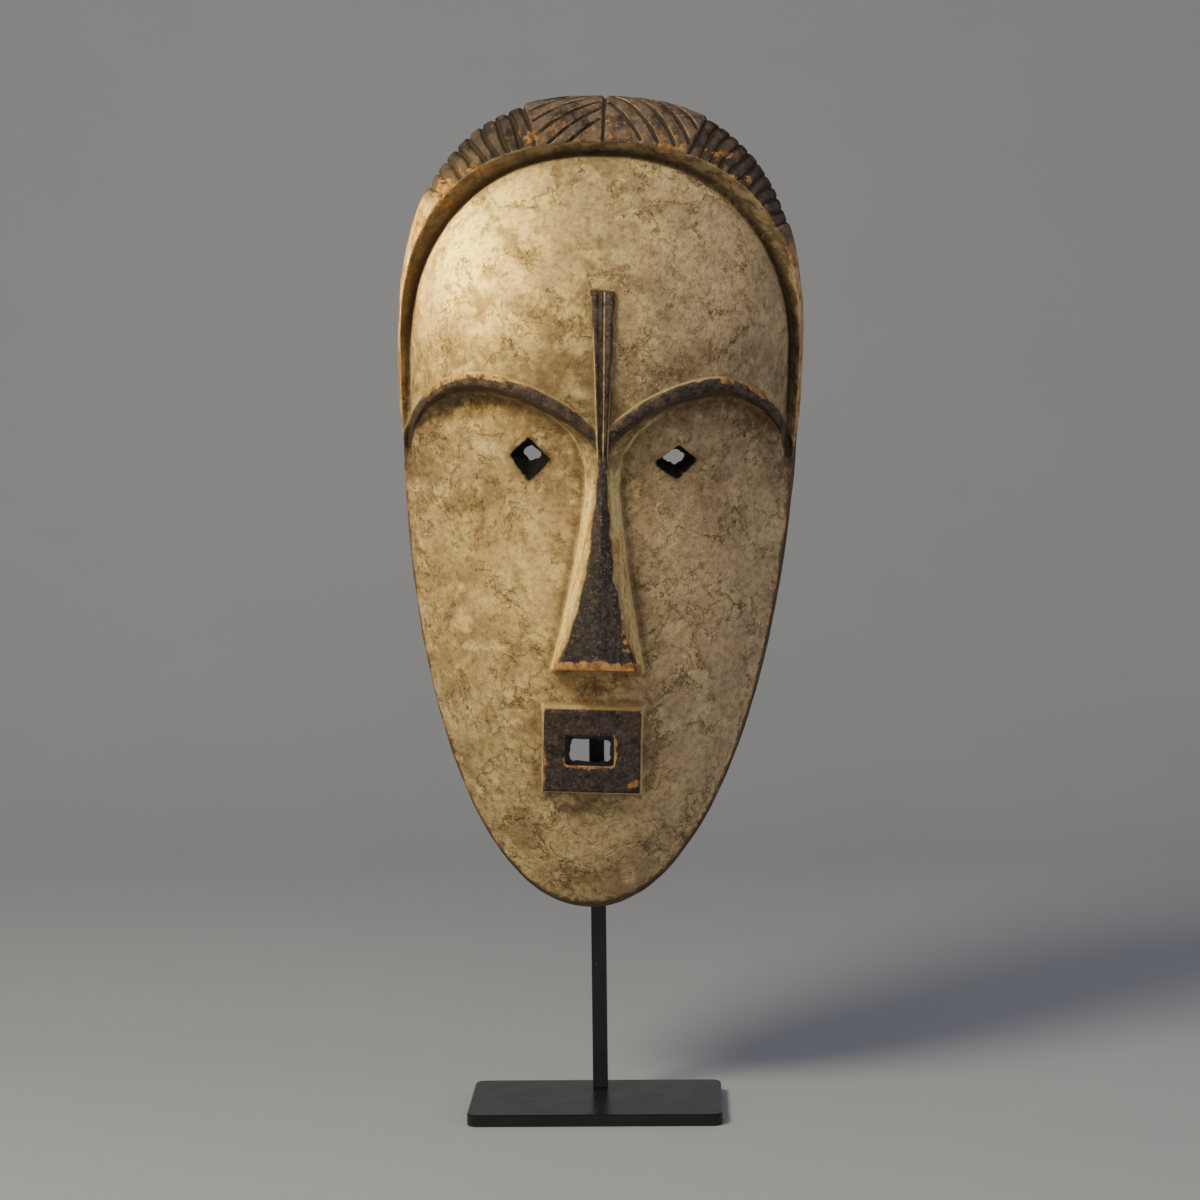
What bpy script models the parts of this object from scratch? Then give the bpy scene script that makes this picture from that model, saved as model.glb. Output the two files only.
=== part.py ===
"""A fang ngil mask: one carved and hollowed block of painted wood, hung on a steel rod with a flat foot.

Metres, +Z up. The face looks along -Y, and the origin is the middle of the foot's underside.
The mask is shaped in a frame of its own: x to the right as it is seen, height up from the chin,
and depth forward of the flat plane that the hollow opens on.
"""

import math

import bmesh
import bpy
from mathutils import Vector

# Foot and rod
FOOT_WIDTH = 0.1673
FOOT_DEPTH = 0.100
FOOT_THICKNESS = 0.008
FOOT_CORNER_RADIUS = 0.007
FOOT_EDGE_BEVEL = 0.0008
ROD_SIDE = 0.010
ROD_EDGE_BEVEL = 0.0006
ROD_X = 0.0020
ROD_Y = 0.0287
CONTACT_GAP = 0.0003
ROD_HEADROOM = 0.0024
ROD_TRIAL_STEP = 0.0005

# Where the mask hangs: its chin in front of the rod, leaning back and a little to one side
MASK_X = -0.0040
MASK_Y = 0.0226
MASK_Z = 0.1330
LEAN_BACK = math.radians(3.0)
LEAN_SIDE = math.radians(1.9)

# Outline: a superellipse about the widest level, flatter above than below
WIDEST_HEIGHT = 0.3650
HALF_WIDTH = 0.1327
CROWN_RISE = 0.1645
UPPER_POWER = 2.5
LOWER_POWER = 2.07
EDGE_INSET = 0.0048
EDGE_DROP = WIDEST_HEIGHT - 1.2 * EDGE_INSET
CROWN_DRAW_IN = 0.008
SIDE_WALL_DEPTH = 0.012
PAST_RIM = 0.004
NEARLY_ONE = 0.9999

# Where the block passes under the forehead and the band: it draws in at the sides and sinks below the groove
TUCK = 0.0015
TUCK_FROM = 0.315
TUCK_OVER = 0.045
BLANK_BELOW_CROWN = 0.015
COVERED_FROM = 0.370
COVERED_OVER = 0.060
COVERED_UNDER = 0.002

# Face below the brows: the depth of its edge, and how far its middle stands forward of that
EDGE_DEPTH_AT_CHIN = 0.030
EDGE_DEPTH_SLOPE = 0.082
FACE_RISE = 0.052
CHIN_ROUNDING = 0.085
CHIN_ROUNDING_POWER = 1.25
FACE_POWER = 2.2

# Forehead: a dome that swells out of the groove inside the hair band
GROOVE_HALF_WIDTH = 0.124
GROOVE_RISE = 0.1235
GROOVE_POWER = 2.2
GROOVE_DEPTH = 0.060
GROOVE_SLOPE = 0.32
GROOVE_CURVE = 1.1
DOME_DEPTH = 0.149
DOME_FULL_HEIGHT = 0.430
DOME_FALL = 1.66
DOME_POWER = 2.4
DOME_ROUNDING = 0.6
DOME_ROOT = 0.020
PAST_GROOVE = 0.004

# Hair band: the front edge that stands over the groove, and its combed ridges
BAND_HALF_WIDTH = 0.129
BAND_RISE = 0.1285
BAND_DEPTH = 0.070
BAND_SLOPE = 0.40
BAND_CURVE = 0.54
BAND_SHOULDER = 0.66
BAND_LOWEST_ANGLE = math.radians(-23.0)
BAND_DROP = 0.355
GROOVE_DROP = 0.345
BAND_WALL = 0.040
BAND_WAIST_DEPTH = 0.030
BAND_TOE = 0.003
BAND_FADE_FROM = 0.053
BAND_FADE_OVER = 0.030
RIDGE_LEVELS = (0.0020, 0.0, -0.0003, 0.0)
LEFT_RIDGES = (math.radians(108.5), math.radians(137.0), 8)
RIGHT_RIDGES = (math.radians(36.0), math.radians(66.0), 9)
PLAIN_STEP = math.radians(4.5)
PARTING_X = 0.0007
STROKE_WIDTH = 0.0034
STROKE_DEPTH = 0.0019
STROKE_LIFT = 0.0030
STROKE_STATIONS = 5
STROKES_EACH_SIDE = 5
LEFT_STROKE_PITCH = 0.0115
LEFT_STROKE_RUN = 0.0200
LEFT_STROKE_HEAD = -0.0040
RIGHT_STROKE_PITCH = 0.0110
RIGHT_STROKE_RUN = 0.0240
RIGHT_STROKE_HEAD = 0.0040

# Brows: two arches that run from the nose to the edge of the face
BROW_APEX_X = 0.0785
BROW_BASE_HEIGHT = 0.300
BROW_RISE = 0.0440
BROW_OUTER_REACH = 0.0460
BROW_OUTER_POWER = 2.0
BROW_INNER_POWER = 1.5
BROW_HALF_WIDTH = 0.0046
BROW_PROUD = 0.0028
BROW_LEAST_STEP = 0.001
BROW_TOE = 0.0035
BROW_ROOT = 0.012

# Features of the middle line, which bows to the right of the outline's own middle
MIDLINE_BOW = 0.0048
MASK_HEIGHT = WIDEST_HEIGHT + CROWN_RISE
BAR_TOP = 0.3990
BAR_BOTTOM = 0.2975
BAR_TOP_HALF_WIDTH = 0.0073
BAR_BOTTOM_HALF_WIDTH = 0.0034
BAR_PROUD = 0.0040
BAR_GROOVE = 0.0020
BAR_ROOT = 0.0250
NOSE_ROOT = 0.3040
NOSE_FLARE_TOP = 0.2900
NOSE_BOTTOM = 0.1597
NOSE_DEPTH = 0.1190
NOSE_ROOT_HALF_WIDTH = 0.0110
NOSE_FOOT_FLARE = 0.0205
NOSE_FLARE_POWER = 1.45
RIDGE_ROOT_HALF_WIDTH = 0.0026
RIDGE_FOOT_FLARE = 0.0230
NOSE_CROWN = 0.0009
NOSE_TOE = 0.0020
NOSE_INTO_FACE = 0.0120

# Mouth: a square frame round a small opening
MOUTH_X = 0.0015
MOUTH_HEIGHT = 0.1122
MOUTH_FOOT = (0.0682, 0.0635)
MOUTH_FRONT = (0.0630, 0.0575)
MOUTH_PROUD = 0.0100
MOUTH_TILT = math.radians(15.7)
MOUTH_HOLE = (0.0304, 0.0188)
MOUTH_HOLE_BACK = (0.0275, 0.0156)
MOUTH_HOLE_SHIFT = -0.0015
MOUTH_HOLE_REACH = 0.0300
MOUTH_ROOT = 0.0140
MOUTH_EDGE_BEVEL = 0.0010

# Eyes: diamond holes that narrow towards the hollow and lean inwards and up
EYES = (
    (-0.0432, 0.2955, 0.0268, 0.0285, 1.0),
    (0.0530, 0.2954, 0.0273, 0.0235, -1.0),
)
EYE_BACK_WIDTH = 0.0150
EYE_BACK_HEIGHT = 0.0130
EYE_INWARD = 0.0034
EYE_UPWARD = 0.0050
EYE_LENGTH = 0.0200

# Hollow behind the face
WALL_AT_RIM = 0.0125
WALL_AT_CHIN = 0.0140
WALL_AT_CROWN = 0.0200
HOLLOW_DEPTH_AT_CHIN = 0.0755
HOLLOW_DEPTH_SLOPE = 0.064
FOREHEAD_HOLLOW = 0.030
FOREHEAD_HOLLOW_FROM = 0.322
FOREHEAD_HOLLOW_OVER = 0.105
HOLLOW_POWER = 2.6

# How finely the curved surfaces are divided
OUTLINE_STEPS = 76
HOLLOW_STEPS = 38
FACE_RINGS = (1.0, 0.965, 0.92, 0.86, 0.78, 0.68, 0.56, 0.42, 0.27, 0.12)
HOLLOW_RINGS = (1.0, 0.985, 0.955, 0.90, 0.82, 0.71, 0.57, 0.40, 0.20)
DOME_COLUMNS = 30
DOME_ROWS = 11
DOME_ROW_POWER = 1.4
BAND_SHARES = (0.0, 0.25, 0.5, 0.75, 1.0)
BROW_STATIONS = 20
NOSE_STATIONS = 10
BAR_STATIONS = 8


def clear_scene():
    for obj in list(bpy.data.objects):
        bpy.data.objects.remove(obj, do_unlink=True)


def material(name, colour, roughness, metallic):
    made = bpy.data.materials.new(name)
    made.use_nodes = True
    shader = made.node_tree.nodes["Principled BSDF"]
    shader.inputs["Base Color"].default_value = (*colour, 1.0)
    shader.inputs["Roughness"].default_value = roughness
    shader.inputs["Metallic"].default_value = metallic
    return made


def smooth_step(value):
    value = min(max(value, 0.0), 1.0)
    return value * value * (3.0 - 2.0 * value)


def spread(count):
    """Evenly spaced numbers from 0 to 1."""
    return [index / (count - 1) for index in range(count)]


def at(x, height, depth):
    """A point of the mask's own frame."""
    return Vector((x, -depth, height))


def loft(name, sections, parent=None):
    """A closed solid through rows of points. Each row is one closed outline, and the end rows are capped."""
    shape = bmesh.new()
    rows = [[shape.verts.new(point) for point in section] for section in sections]
    for first, second in zip(rows, rows[1:]):
        for index in range(len(first)):
            after = (index + 1) % len(first)
            shape.faces.new((first[index], first[after], second[after], second[index]))
    shape.faces.new(rows[0])
    shape.faces.new(rows[-1])
    bmesh.ops.recalc_face_normals(shape, faces=shape.faces)
    mesh = bpy.data.meshes.new(name)
    shape.to_mesh(mesh)
    shape.free()
    made = bpy.data.objects.new(name, mesh)
    made.parent = parent
    bpy.context.scene.collection.objects.link(made)
    return made


def combine(target, tool, operation):
    """Adds a helper shape to the target, or cuts it away, and keeps the helper out of the finished part."""
    tool.hide_render = True
    tool.display_type = "WIRE"
    modifier = target.modifiers.new(tool.name, "BOOLEAN")
    modifier.operation = operation
    modifier.object = tool


def outline(turn, half_width, rise, drop):
    """A point of a superellipse about the widest level, by its turn from the right-hand side."""
    across, up = math.cos(turn), math.sin(turn)
    power = UPPER_POWER if up > 0.0 else LOWER_POWER
    x = math.copysign(abs(across) ** (2.0 / power), across) * half_width
    climb = math.copysign(abs(up) ** (2.0 / power), up) * (rise if up > 0.0 else drop)
    return x, WIDEST_HEIGHT + climb


def ray_length(angle, half_width, rise, drop, power):
    """How far a ray from the middle of the widest level runs before it meets a superellipse."""
    across, up = math.cos(angle), math.sin(angle)
    if up > 0.0:
        return ((abs(across) / half_width) ** power + (up / rise) ** power) ** (-1.0 / power)
    lower = (abs(across) / half_width) ** LOWER_POWER + (-up / drop) ** LOWER_POWER
    return lower ** (-1.0 / LOWER_POWER)


def midline(height):
    return MIDLINE_BOW * math.sin(math.pi * height / MASK_HEIGHT)


def edge_depth(height):
    return EDGE_DEPTH_AT_CHIN + EDGE_DEPTH_SLOPE * height


def edge_half_width(height):
    """Half the width of the face between its edges, at this height."""
    fall = min(max(WIDEST_HEIGHT - height, 0.0) / EDGE_DROP, NEARLY_ONE)
    return (HALF_WIDTH - EDGE_INSET) * (1.0 - fall**LOWER_POWER) ** (1.0 / LOWER_POWER)


def groove_depth(height):
    above = height - WIDEST_HEIGHT
    return GROOVE_DEPTH + GROOVE_SLOPE * above + GROOVE_CURVE * above**2


def band_depth(height):
    above = height - WIDEST_HEIGHT
    return BAND_DEPTH + BAND_SLOPE * above + BAND_CURVE * above**2


def face_depth(x, height):
    """Depth of the face below the brows."""
    rise = FACE_RISE * (1.0 - math.exp(-((max(height, 0.0) / CHIN_ROUNDING) ** CHIN_ROUNDING_POWER)))
    aside = min(abs(x) / edge_half_width(height), 1.0)
    return edge_depth(height) + rise * (1.0 - aside**FACE_POWER)


def dome_depth(x, height):
    """Depth of the forehead above the brows."""
    middle = DOME_DEPTH - DOME_FALL * max(DOME_FULL_HEIGHT - height, 0.0) ** 2
    above = max(height - WIDEST_HEIGHT, 0.0) / GROOVE_RISE
    reach = (abs(x) / GROOVE_HALF_WIDTH) ** GROOVE_POWER + above**GROOVE_POWER
    reach = min(reach ** (1.0 / GROOVE_POWER), 1.0)
    groove = groove_depth(height)
    return groove + (middle - groove) * (1.0 - reach**DOME_POWER) ** DOME_ROUNDING


def brow_height(x):
    """Height of the brow line: an arch on each side, with a steeper outer end."""
    side = -1.0 if x < midline(BROW_BASE_HEIGHT) else 1.0
    from_apex = side * x - BROW_APEX_X
    if from_apex > 0.0:
        reach, power = BROW_OUTER_REACH, BROW_OUTER_POWER
    else:
        reach, power = BROW_APEX_X - side * midline(BROW_BASE_HEIGHT), BROW_INNER_POWER
    along = min(abs(from_apex) / reach, 1.0)
    return BROW_BASE_HEIGHT + BROW_RISE * (1.0 - along**power) ** (1.0 / power)


def body_blank():
    """The block inside the outline, with its front cut to the face. Its top lies inside the dome and band."""
    def tuck(height):
        return TUCK * smooth_step((height - TUCK_FROM) / TUCK_OVER)

    def ring(half_width, drop, scale, depth_of):
        points = []
        for index in range(OUTLINE_STEPS):
            turn = 2.0 * math.pi * index / OUTLINE_STEPS
            x, height = outline(turn, half_width, CROWN_RISE - BLANK_BELOW_CROWN, drop)
            x -= math.copysign(tuck(height), x)
            x *= scale
            height = WIDEST_HEIGHT + scale * (height - WIDEST_HEIGHT)
            points.append(at(x, height, depth_of(x, height)))
        return points

    def front(x, height):
        face = face_depth(x, height)
        covered = min(face, groove_depth(height) - COVERED_UNDER)
        return face + (covered - face) * smooth_step((height - COVERED_FROM) / COVERED_OVER)

    rim = (HALF_WIDTH, WIDEST_HEIGHT)
    edge = (HALF_WIDTH - EDGE_INSET, EDGE_DROP)
    sections = [ring(*rim, 1.0, lambda x, height: -PAST_RIM)]
    sections.append(ring(*rim, 1.0, lambda x, height: SIDE_WALL_DEPTH))
    sections += [ring(*edge, scale, front) for scale in FACE_RINGS]
    return loft("mask", sections)


def dome():
    """The forehead, from the brow line up to just past the groove inside the band."""
    sections = []
    for share in spread(DOME_COLUMNS):
        x = (GROOVE_HALF_WIDTH + 0.5 * PAST_GROOVE) * math.sin(math.pi * (share - 0.5))
        aside = (abs(x) / (GROOVE_HALF_WIDTH + PAST_GROOVE)) ** GROOVE_POWER
        top = WIDEST_HEIGHT + (GROOVE_RISE + PAST_GROOVE) * (1.0 - aside) ** (1.0 / GROOVE_POWER)
        bottom = brow_height(x)
        column = []
        for step in spread(DOME_ROWS):
            height = bottom + (top - bottom) * (1.0 - (1.0 - step) ** DOME_ROW_POWER)
            column.append(at(x, height, dome_depth(x, height)))
        column.append(at(x, top, DOME_ROOT))
        column.append(at(x, bottom, DOME_ROOT))
        sections.append(column)
    return sections


def band_angles():
    """The stations of the hair band, with each one's place within a combed ridge, or None if it is plain."""
    stations = []
    zones = sorted((RIGHT_RIDGES, LEFT_RIDGES))
    angle = BAND_LOWEST_ANGLE
    for start, end, count in zones + [(math.pi - BAND_LOWEST_ANGLE, None, 0)]:
        plain = max(int((start - angle) / PLAIN_STEP), 1)
        stations += [(angle + (start - angle) * index / plain, None) for index in range(plain)]
        for index in range(4 * count):
            stations.append((start + (end - start) * index / (4 * count), index % 4))
        angle = end
    stations.append((math.pi - BAND_LOWEST_ANGLE, None))
    return stations


def band_point(angle, share, lower=0.0):
    """A point of the band's rounded front, from its inner edge at 0 to the crown's outline at 1."""
    outer = ray_length(angle, HALF_WIDTH, CROWN_RISE, WIDEST_HEIGHT, UPPER_POWER)
    inner = ray_length(angle, BAND_HALF_WIDTH, BAND_RISE, BAND_DROP, UPPER_POWER)
    front = band_depth(WIDEST_HEIGHT + inner * math.sin(angle))
    shoulder = BAND_SHOULDER * front
    quarter = 0.5 * math.pi * share
    radius = inner + (outer - inner) * math.sin(quarter) - lower * math.sin(quarter)
    depth = shoulder + (front - shoulder) * math.cos(quarter) - lower * math.cos(quarter)
    return at(radius * math.cos(angle), WIDEST_HEIGHT + radius * math.sin(angle), depth)


def band_section(angle, place):
    """The band and the wall behind it, cut by the plane through this angle."""
    def radial(radius, depth):
        return at(radius * math.cos(angle), WIDEST_HEIGHT + radius * math.sin(angle), depth)

    lower = RIDGE_LEVELS[place] if place is not None else 0.0
    points = [band_point(angle, share, lower) for share in BAND_SHARES]
    low_end = smooth_step((math.sin(angle) * BAND_HALF_WIDTH + BAND_FADE_FROM) / BAND_FADE_OVER)
    outer = ray_length(angle, HALF_WIDTH, CROWN_RISE, WIDEST_HEIGHT, UPPER_POWER)
    hidden = TUCK * (1.0 - low_end)
    rim = outer - CROWN_DRAW_IN * max(math.sin(angle), 0.0) ** 2 - hidden
    points = [point - Vector((math.copysign(hidden, point.x), 0.0, 0.0)) for point in points]
    groove = ray_length(angle, GROOVE_HALF_WIDTH, GROOVE_RISE, GROOVE_DROP, GROOVE_POWER)
    groove_at = groove_depth(WIDEST_HEIGHT + groove * math.sin(angle))
    points.append(radial(0.25 * outer + 0.75 * rim, BAND_WAIST_DEPTH))
    points.append(radial(rim, -PAST_RIM))
    points.append(radial(rim - BAND_WALL, -PAST_RIM))
    points.append(radial(groove - 4.0 * BAND_TOE, groove_at - 10.0 * BAND_TOE))
    points.append(radial(groove - BAND_TOE, groove_at - 2.0 * BAND_TOE))
    return points


def band():
    return [band_section(angle, place) for angle, place in band_angles()]


def stroke(start, end):
    """A V-shaped cut over the band's front, between two (angle, share) places."""
    half_mouth = 0.5 * STROKE_WIDTH * (1.0 + STROKE_LIFT / STROKE_DEPTH)
    turn, rise = end[0] - start[0], end[1] - start[1]
    sections = []
    for step in spread(STROKE_STATIONS):
        angle = start[0] + turn * step
        share = start[1] + rise * step
        here = band_point(angle, share)
        ahead = band_point(angle + 0.01 * turn, share + 0.01 * rise)
        out = (band_point(angle, share, -0.001) - here).normalized()
        side = (ahead - here).cross(out).normalized()
        sections.append([
            here - out * STROKE_DEPTH,
            here + out * STROKE_LIFT + side * half_mouth,
            here + out * STROKE_LIFT - side * half_mouth,
        ])
    return sections


def angle_over(x):
    """The direction from the middle of the widest level to a place on the crown above x."""
    return math.atan2(0.5 * (CROWN_RISE + BAND_RISE), x)


def crown_strokes():
    """The parting, the cuts that rise to it on the left, and those that fall from the crown on the right."""
    parting = angle_over(PARTING_X)
    cuts = [stroke((parting, -0.15), (parting, 1.4))]
    for index in range(STROKES_EACH_SIDE):
        foot = (angle_over(-LEFT_STROKE_RUN - LEFT_STROKE_PITCH * index), -0.05 + 0.13 * index)
        head = (angle_over(LEFT_STROKE_HEAD), 0.16 + 0.19 * index)
        cuts.append(stroke(foot, head))
    for index in range(STROKES_EACH_SIDE):
        head = RIGHT_STROKE_HEAD + RIGHT_STROKE_PITCH * index
        cuts.append(stroke((angle_over(head), 1.15), (angle_over(head + RIGHT_STROKE_RUN), -0.05)))
    return cuts


def brow(side):
    """One brow: a ridge that covers the step between the forehead and the face below."""
    inner_reach = BROW_APEX_X - side * midline(BROW_BASE_HEIGHT)
    places = []
    for step in spread(BROW_STATIONS):
        turn = math.pi * step
        if step < 0.5:
            power, reach = BROW_INNER_POWER, inner_reach
        else:
            power, reach = BROW_OUTER_POWER, BROW_OUTER_REACH
        away = -math.copysign(abs(math.cos(turn)) ** (2.0 / power), math.cos(turn)) * reach
        height = BROW_BASE_HEIGHT + BROW_RISE * math.sin(turn) ** (2.0 / power)
        places.append((side * (BROW_APEX_X + away), height))
    rows = []
    for index, (x, height) in enumerate(places):
        before, after = places[max(index - 1, 0)], places[min(index + 1, len(places) - 1)]
        run, climb = after[0] - before[0], after[1] - before[1]
        length = math.hypot(run, climb)
        up = (-side * climb / length, side * run / length)
        step = index / (len(places) - 1)
        width = BROW_HALF_WIDTH * (0.72 + 0.28 * math.sin(math.pi * min(step * 1.25, 1.0)))
        proud = BROW_PROUD * (1.0 - 0.6 * smooth_step((step - 0.7) / 0.3))
        below = face_depth(x - up[0] * width, height - up[1] * width)
        above = max(dome_depth(x + up[0] * width, height + up[1] * width), below + BROW_LEAST_STEP)
        profile = (
            (-1.7, below - BROW_TOE),
            (-1.35, below + 0.35 * (above - below)),
            (-0.9, above + 0.2 * proud),
            (-0.1, above + proud),
            (0.9, above + 0.3 * proud),
            (1.1, above - BROW_TOE),
            (0.0, below - BROW_ROOT),
        )
        rows.append([at(x + up[0] * side_step * width, height + up[1] * side_step * width, depth)
                     for side_step, depth in profile])
    return rows


def forehead_bar():
    """The upright bar between the brows, with two grooves cut along it."""
    rows = []
    across = (-1.0, -0.82, -0.45, -0.12, 0.12, 0.45, 0.82, 1.0)
    lift = (0.2, 0.0, 1.0, 0.0, 0.0, 1.0, 0.0, 0.2)
    for step in spread(BAR_STATIONS):
        height = BAR_TOP + (BAR_BOTTOM - BAR_TOP) * step
        half = BAR_TOP_HALF_WIDTH + (BAR_BOTTOM_HALF_WIDTH - BAR_TOP_HALF_WIDTH) * step
        centre = midline(height)
        surface = dome_depth(centre, height)
        top = [
            at(centre + half * place, height, surface + BAR_PROUD - BAR_GROOVE * cut)
            for place, cut in zip(across, lift)
        ]
        base = surface - BAR_ROOT
        rows.append(top + [at(centre + half, height, base), at(centre - half, height, base)])
    return rows


def nose():
    """A long wedge that widens downwards and is cut off square at its foot."""
    rows = []
    for step in spread(NOSE_STATIONS):
        height = NOSE_ROOT + (NOSE_BOTTOM - NOSE_ROOT) * step
        fall = max(NOSE_FLARE_TOP - height, 0.0) / (NOSE_FLARE_TOP - NOSE_BOTTOM)
        foot = NOSE_ROOT_HALF_WIDTH + NOSE_FOOT_FLARE * fall**NOSE_FLARE_POWER
        ridge = RIDGE_ROOT_HALF_WIDTH + RIDGE_FOOT_FLARE * fall**2
        centre = midline(height)
        side = face_depth(foot, height)
        right_half = (
            (0.4 * ridge, NOSE_DEPTH + NOSE_CROWN),
            (ridge, NOSE_DEPTH - NOSE_CROWN),
            (0.5 * (foot + ridge), side + 0.62 * (NOSE_DEPTH - side)),
            (foot, side + NOSE_TOE),
            (foot + NOSE_TOE, side - 2.0 * NOSE_TOE),
        )
        row = [at(centre - across, height, depth) for across, depth in reversed(right_half)]
        row += [at(centre + across, height, depth) for across, depth in right_half]
        rows.append(row + [at(centre, height, side - NOSE_INTO_FACE)])
    return rows


def mouth_rectangle(size, forward, shift=0.0):
    """A rectangle parallel to the sloping face at the mouth."""
    surface = face_depth(MOUTH_X, MOUTH_HEIGHT)
    points = []
    for across, up in ((-0.5, -0.5), (0.5, -0.5), (0.5, 0.5), (-0.5, 0.5)):
        rise = up * size[1]
        height = MOUTH_HEIGHT + rise * math.cos(MOUTH_TILT) - forward * math.sin(MOUTH_TILT)
        depth = surface + rise * math.sin(MOUTH_TILT) + forward * math.cos(MOUTH_TILT)
        points.append(at(MOUTH_X + shift + across * size[0], height, depth))
    return points


def mouth_frame():
    outer = [side + MOUTH_EDGE_BEVEL for side in MOUTH_FRONT]
    inner = [side - MOUTH_EDGE_BEVEL for side in MOUTH_FRONT]
    return [
        mouth_rectangle(MOUTH_FOOT, -MOUTH_ROOT),
        mouth_rectangle(MOUTH_FOOT, -2.0 * MOUTH_EDGE_BEVEL),
        mouth_rectangle(outer, MOUTH_PROUD - MOUTH_EDGE_BEVEL),
        mouth_rectangle(inner, MOUTH_PROUD),
    ]


def mouth_hole():
    """The opening, straight behind the frame's front and narrower towards the hollow."""
    return [
        mouth_rectangle(MOUTH_HOLE, 2.0 * MOUTH_PROUD, MOUTH_HOLE_SHIFT),
        mouth_rectangle(MOUTH_HOLE, 0.6 * MOUTH_PROUD, MOUTH_HOLE_SHIFT),
        mouth_rectangle(MOUTH_HOLE_BACK, -MOUTH_HOLE_REACH, MOUTH_HOLE_SHIFT),
    ]


def eye_hole(x, height, width, rise, inward):
    """A diamond that narrows from the face to the hollow, carried on past both surfaces."""
    surface = face_depth(x, height)
    sections = []
    for back in (-0.35, 0.0, 1.0, 1.6):
        narrow = min(max(back, 0.0), 1.0)
        half_width = 0.5 * (width + (EYE_BACK_WIDTH - width) * narrow)
        half_rise = 0.5 * (rise + (EYE_BACK_HEIGHT - rise) * narrow)
        x_here = x + inward * EYE_INWARD * back
        height_here = height + EYE_UPWARD * back
        depth = surface + 0.1 * EYE_LENGTH - EYE_LENGTH * back
        sections.append([
            at(x_here - half_width, height_here, depth),
            at(x_here, height_here - half_rise, depth),
            at(x_here + half_width, height_here, depth),
            at(x_here, height_here + half_rise, depth),
        ])
    return sections


def hollow_reach(x, height):
    """How far out in the hollow a place is: 0 in the middle and 1 at its edge."""
    half_width = HALF_WIDTH - WALL_AT_RIM
    above = height - WIDEST_HEIGHT
    if above > 0.0:
        power, limit = UPPER_POWER, CROWN_RISE - WALL_AT_CROWN
    else:
        power, limit = LOWER_POWER, WIDEST_HEIGHT - WALL_AT_CHIN
    reach = (abs(x) / half_width) ** power + (abs(above) / limit) ** power
    return reach ** (1.0 / power)


def hollow_depth(x, height):
    forehead = smooth_step((height - FOREHEAD_HOLLOW_FROM) / FOREHEAD_HOLLOW_OVER)
    full = HOLLOW_DEPTH_AT_CHIN + HOLLOW_DEPTH_SLOPE * height + FOREHEAD_HOLLOW * forehead
    return full * math.sqrt(max(1.0 - hollow_reach(x, height) ** HOLLOW_POWER, 0.0))


def hollow():
    """The space cut out from behind, opening on the rim's plane."""
    size = (HALF_WIDTH - WALL_AT_RIM, CROWN_RISE - WALL_AT_CROWN, WIDEST_HEIGHT - WALL_AT_CHIN)

    def ring(scale, depth=None):
        points = []
        for index in range(HOLLOW_STEPS):
            x, height = outline(2.0 * math.pi * index / HOLLOW_STEPS, *size)
            x *= scale
            height = WIDEST_HEIGHT + scale * (height - WIDEST_HEIGHT)
            points.append(at(x, height, hollow_depth(x, height) if depth is None else depth))
        return points

    return [ring(1.0, -5.0 * PAST_RIM)] + [ring(scale) for scale in HOLLOW_RINGS]


def back_trim():
    """Everything behind the rim's plane."""
    aside, below, above = 1.5 * HALF_WIDTH, -0.1 * MASK_HEIGHT, 1.1 * MASK_HEIGHT
    corners = ((-aside, below), (aside, below), (aside, above), (-aside, above))
    return [[at(x, height, depth) for x, height in corners] for depth in (0.0, -10.0 * PAST_RIM)]


def build_mask():
    mask = body_blank()
    mask.location = (MASK_X, MASK_Y, MASK_Z)
    mask.rotation_euler = (-LEAN_BACK, LEAN_SIDE, 0.0)
    added = {
        "forehead": dome(),
        "hair_band": band(),
        "brow_left": brow(-1.0),
        "brow_right": brow(1.0),
        "nose": nose(),
        "forehead_bar": forehead_bar(),
        "mouth_frame": mouth_frame(),
    }
    for name, sections in added.items():
        combine(mask, loft(name, sections, mask), "UNION")
    cut = {"hollow": hollow(), "mouth_hole": mouth_hole(), "back_trim": back_trim()}
    for index, eye in enumerate(EYES):
        cut[f"eye_hole_{index}"] = eye_hole(*eye)
    for index, sections in enumerate(crown_strokes()):
        cut[f"stroke_{index}"] = sections
    for name, sections in cut.items():
        combine(mask, loft(name, sections, mask), "DIFFERENCE")
    mask.data.materials.append(material("painted_wood", (0.52, 0.42, 0.26), 0.8, 0.0))
    return mask


def roof_over_rod(mask):
    """How high the rod can rise before its end meets the inside of the crown."""
    bpy.context.view_layer.update()
    into_mask = mask.matrix_world.inverted()
    top = MASK_Z + MASK_HEIGHT
    for side in (-0.5, 0.5):
        for back in (-0.5, 0.5):
            height = MASK_Z + WIDEST_HEIGHT
            inside = True
            while inside:
                height += ROD_TRIAL_STEP
                point = into_mask @ Vector((ROD_X + side * ROD_SIDE, ROD_Y + back * ROD_SIDE, height))
                inside = hollow_depth(point.x, point.z) > -point.y
            top = min(top, height)
    return top


def bevelled_box(name, size, centre, width):
    """A box with a narrow bevel along every edge."""
    shape = bmesh.new()
    bmesh.ops.create_cube(shape, size=1.0)
    bmesh.ops.scale(shape, vec=size, verts=shape.verts)
    bmesh.ops.translate(shape, vec=centre, verts=shape.verts)
    mesh = bpy.data.meshes.new(name)
    shape.to_mesh(mesh)
    shape.free()
    made = bpy.data.objects.new(name, mesh)
    bpy.context.scene.collection.objects.link(made)
    bevel = made.modifiers.new("bevel", "BEVEL")
    bevel.width = width
    bevel.segments = 1
    return made


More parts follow.
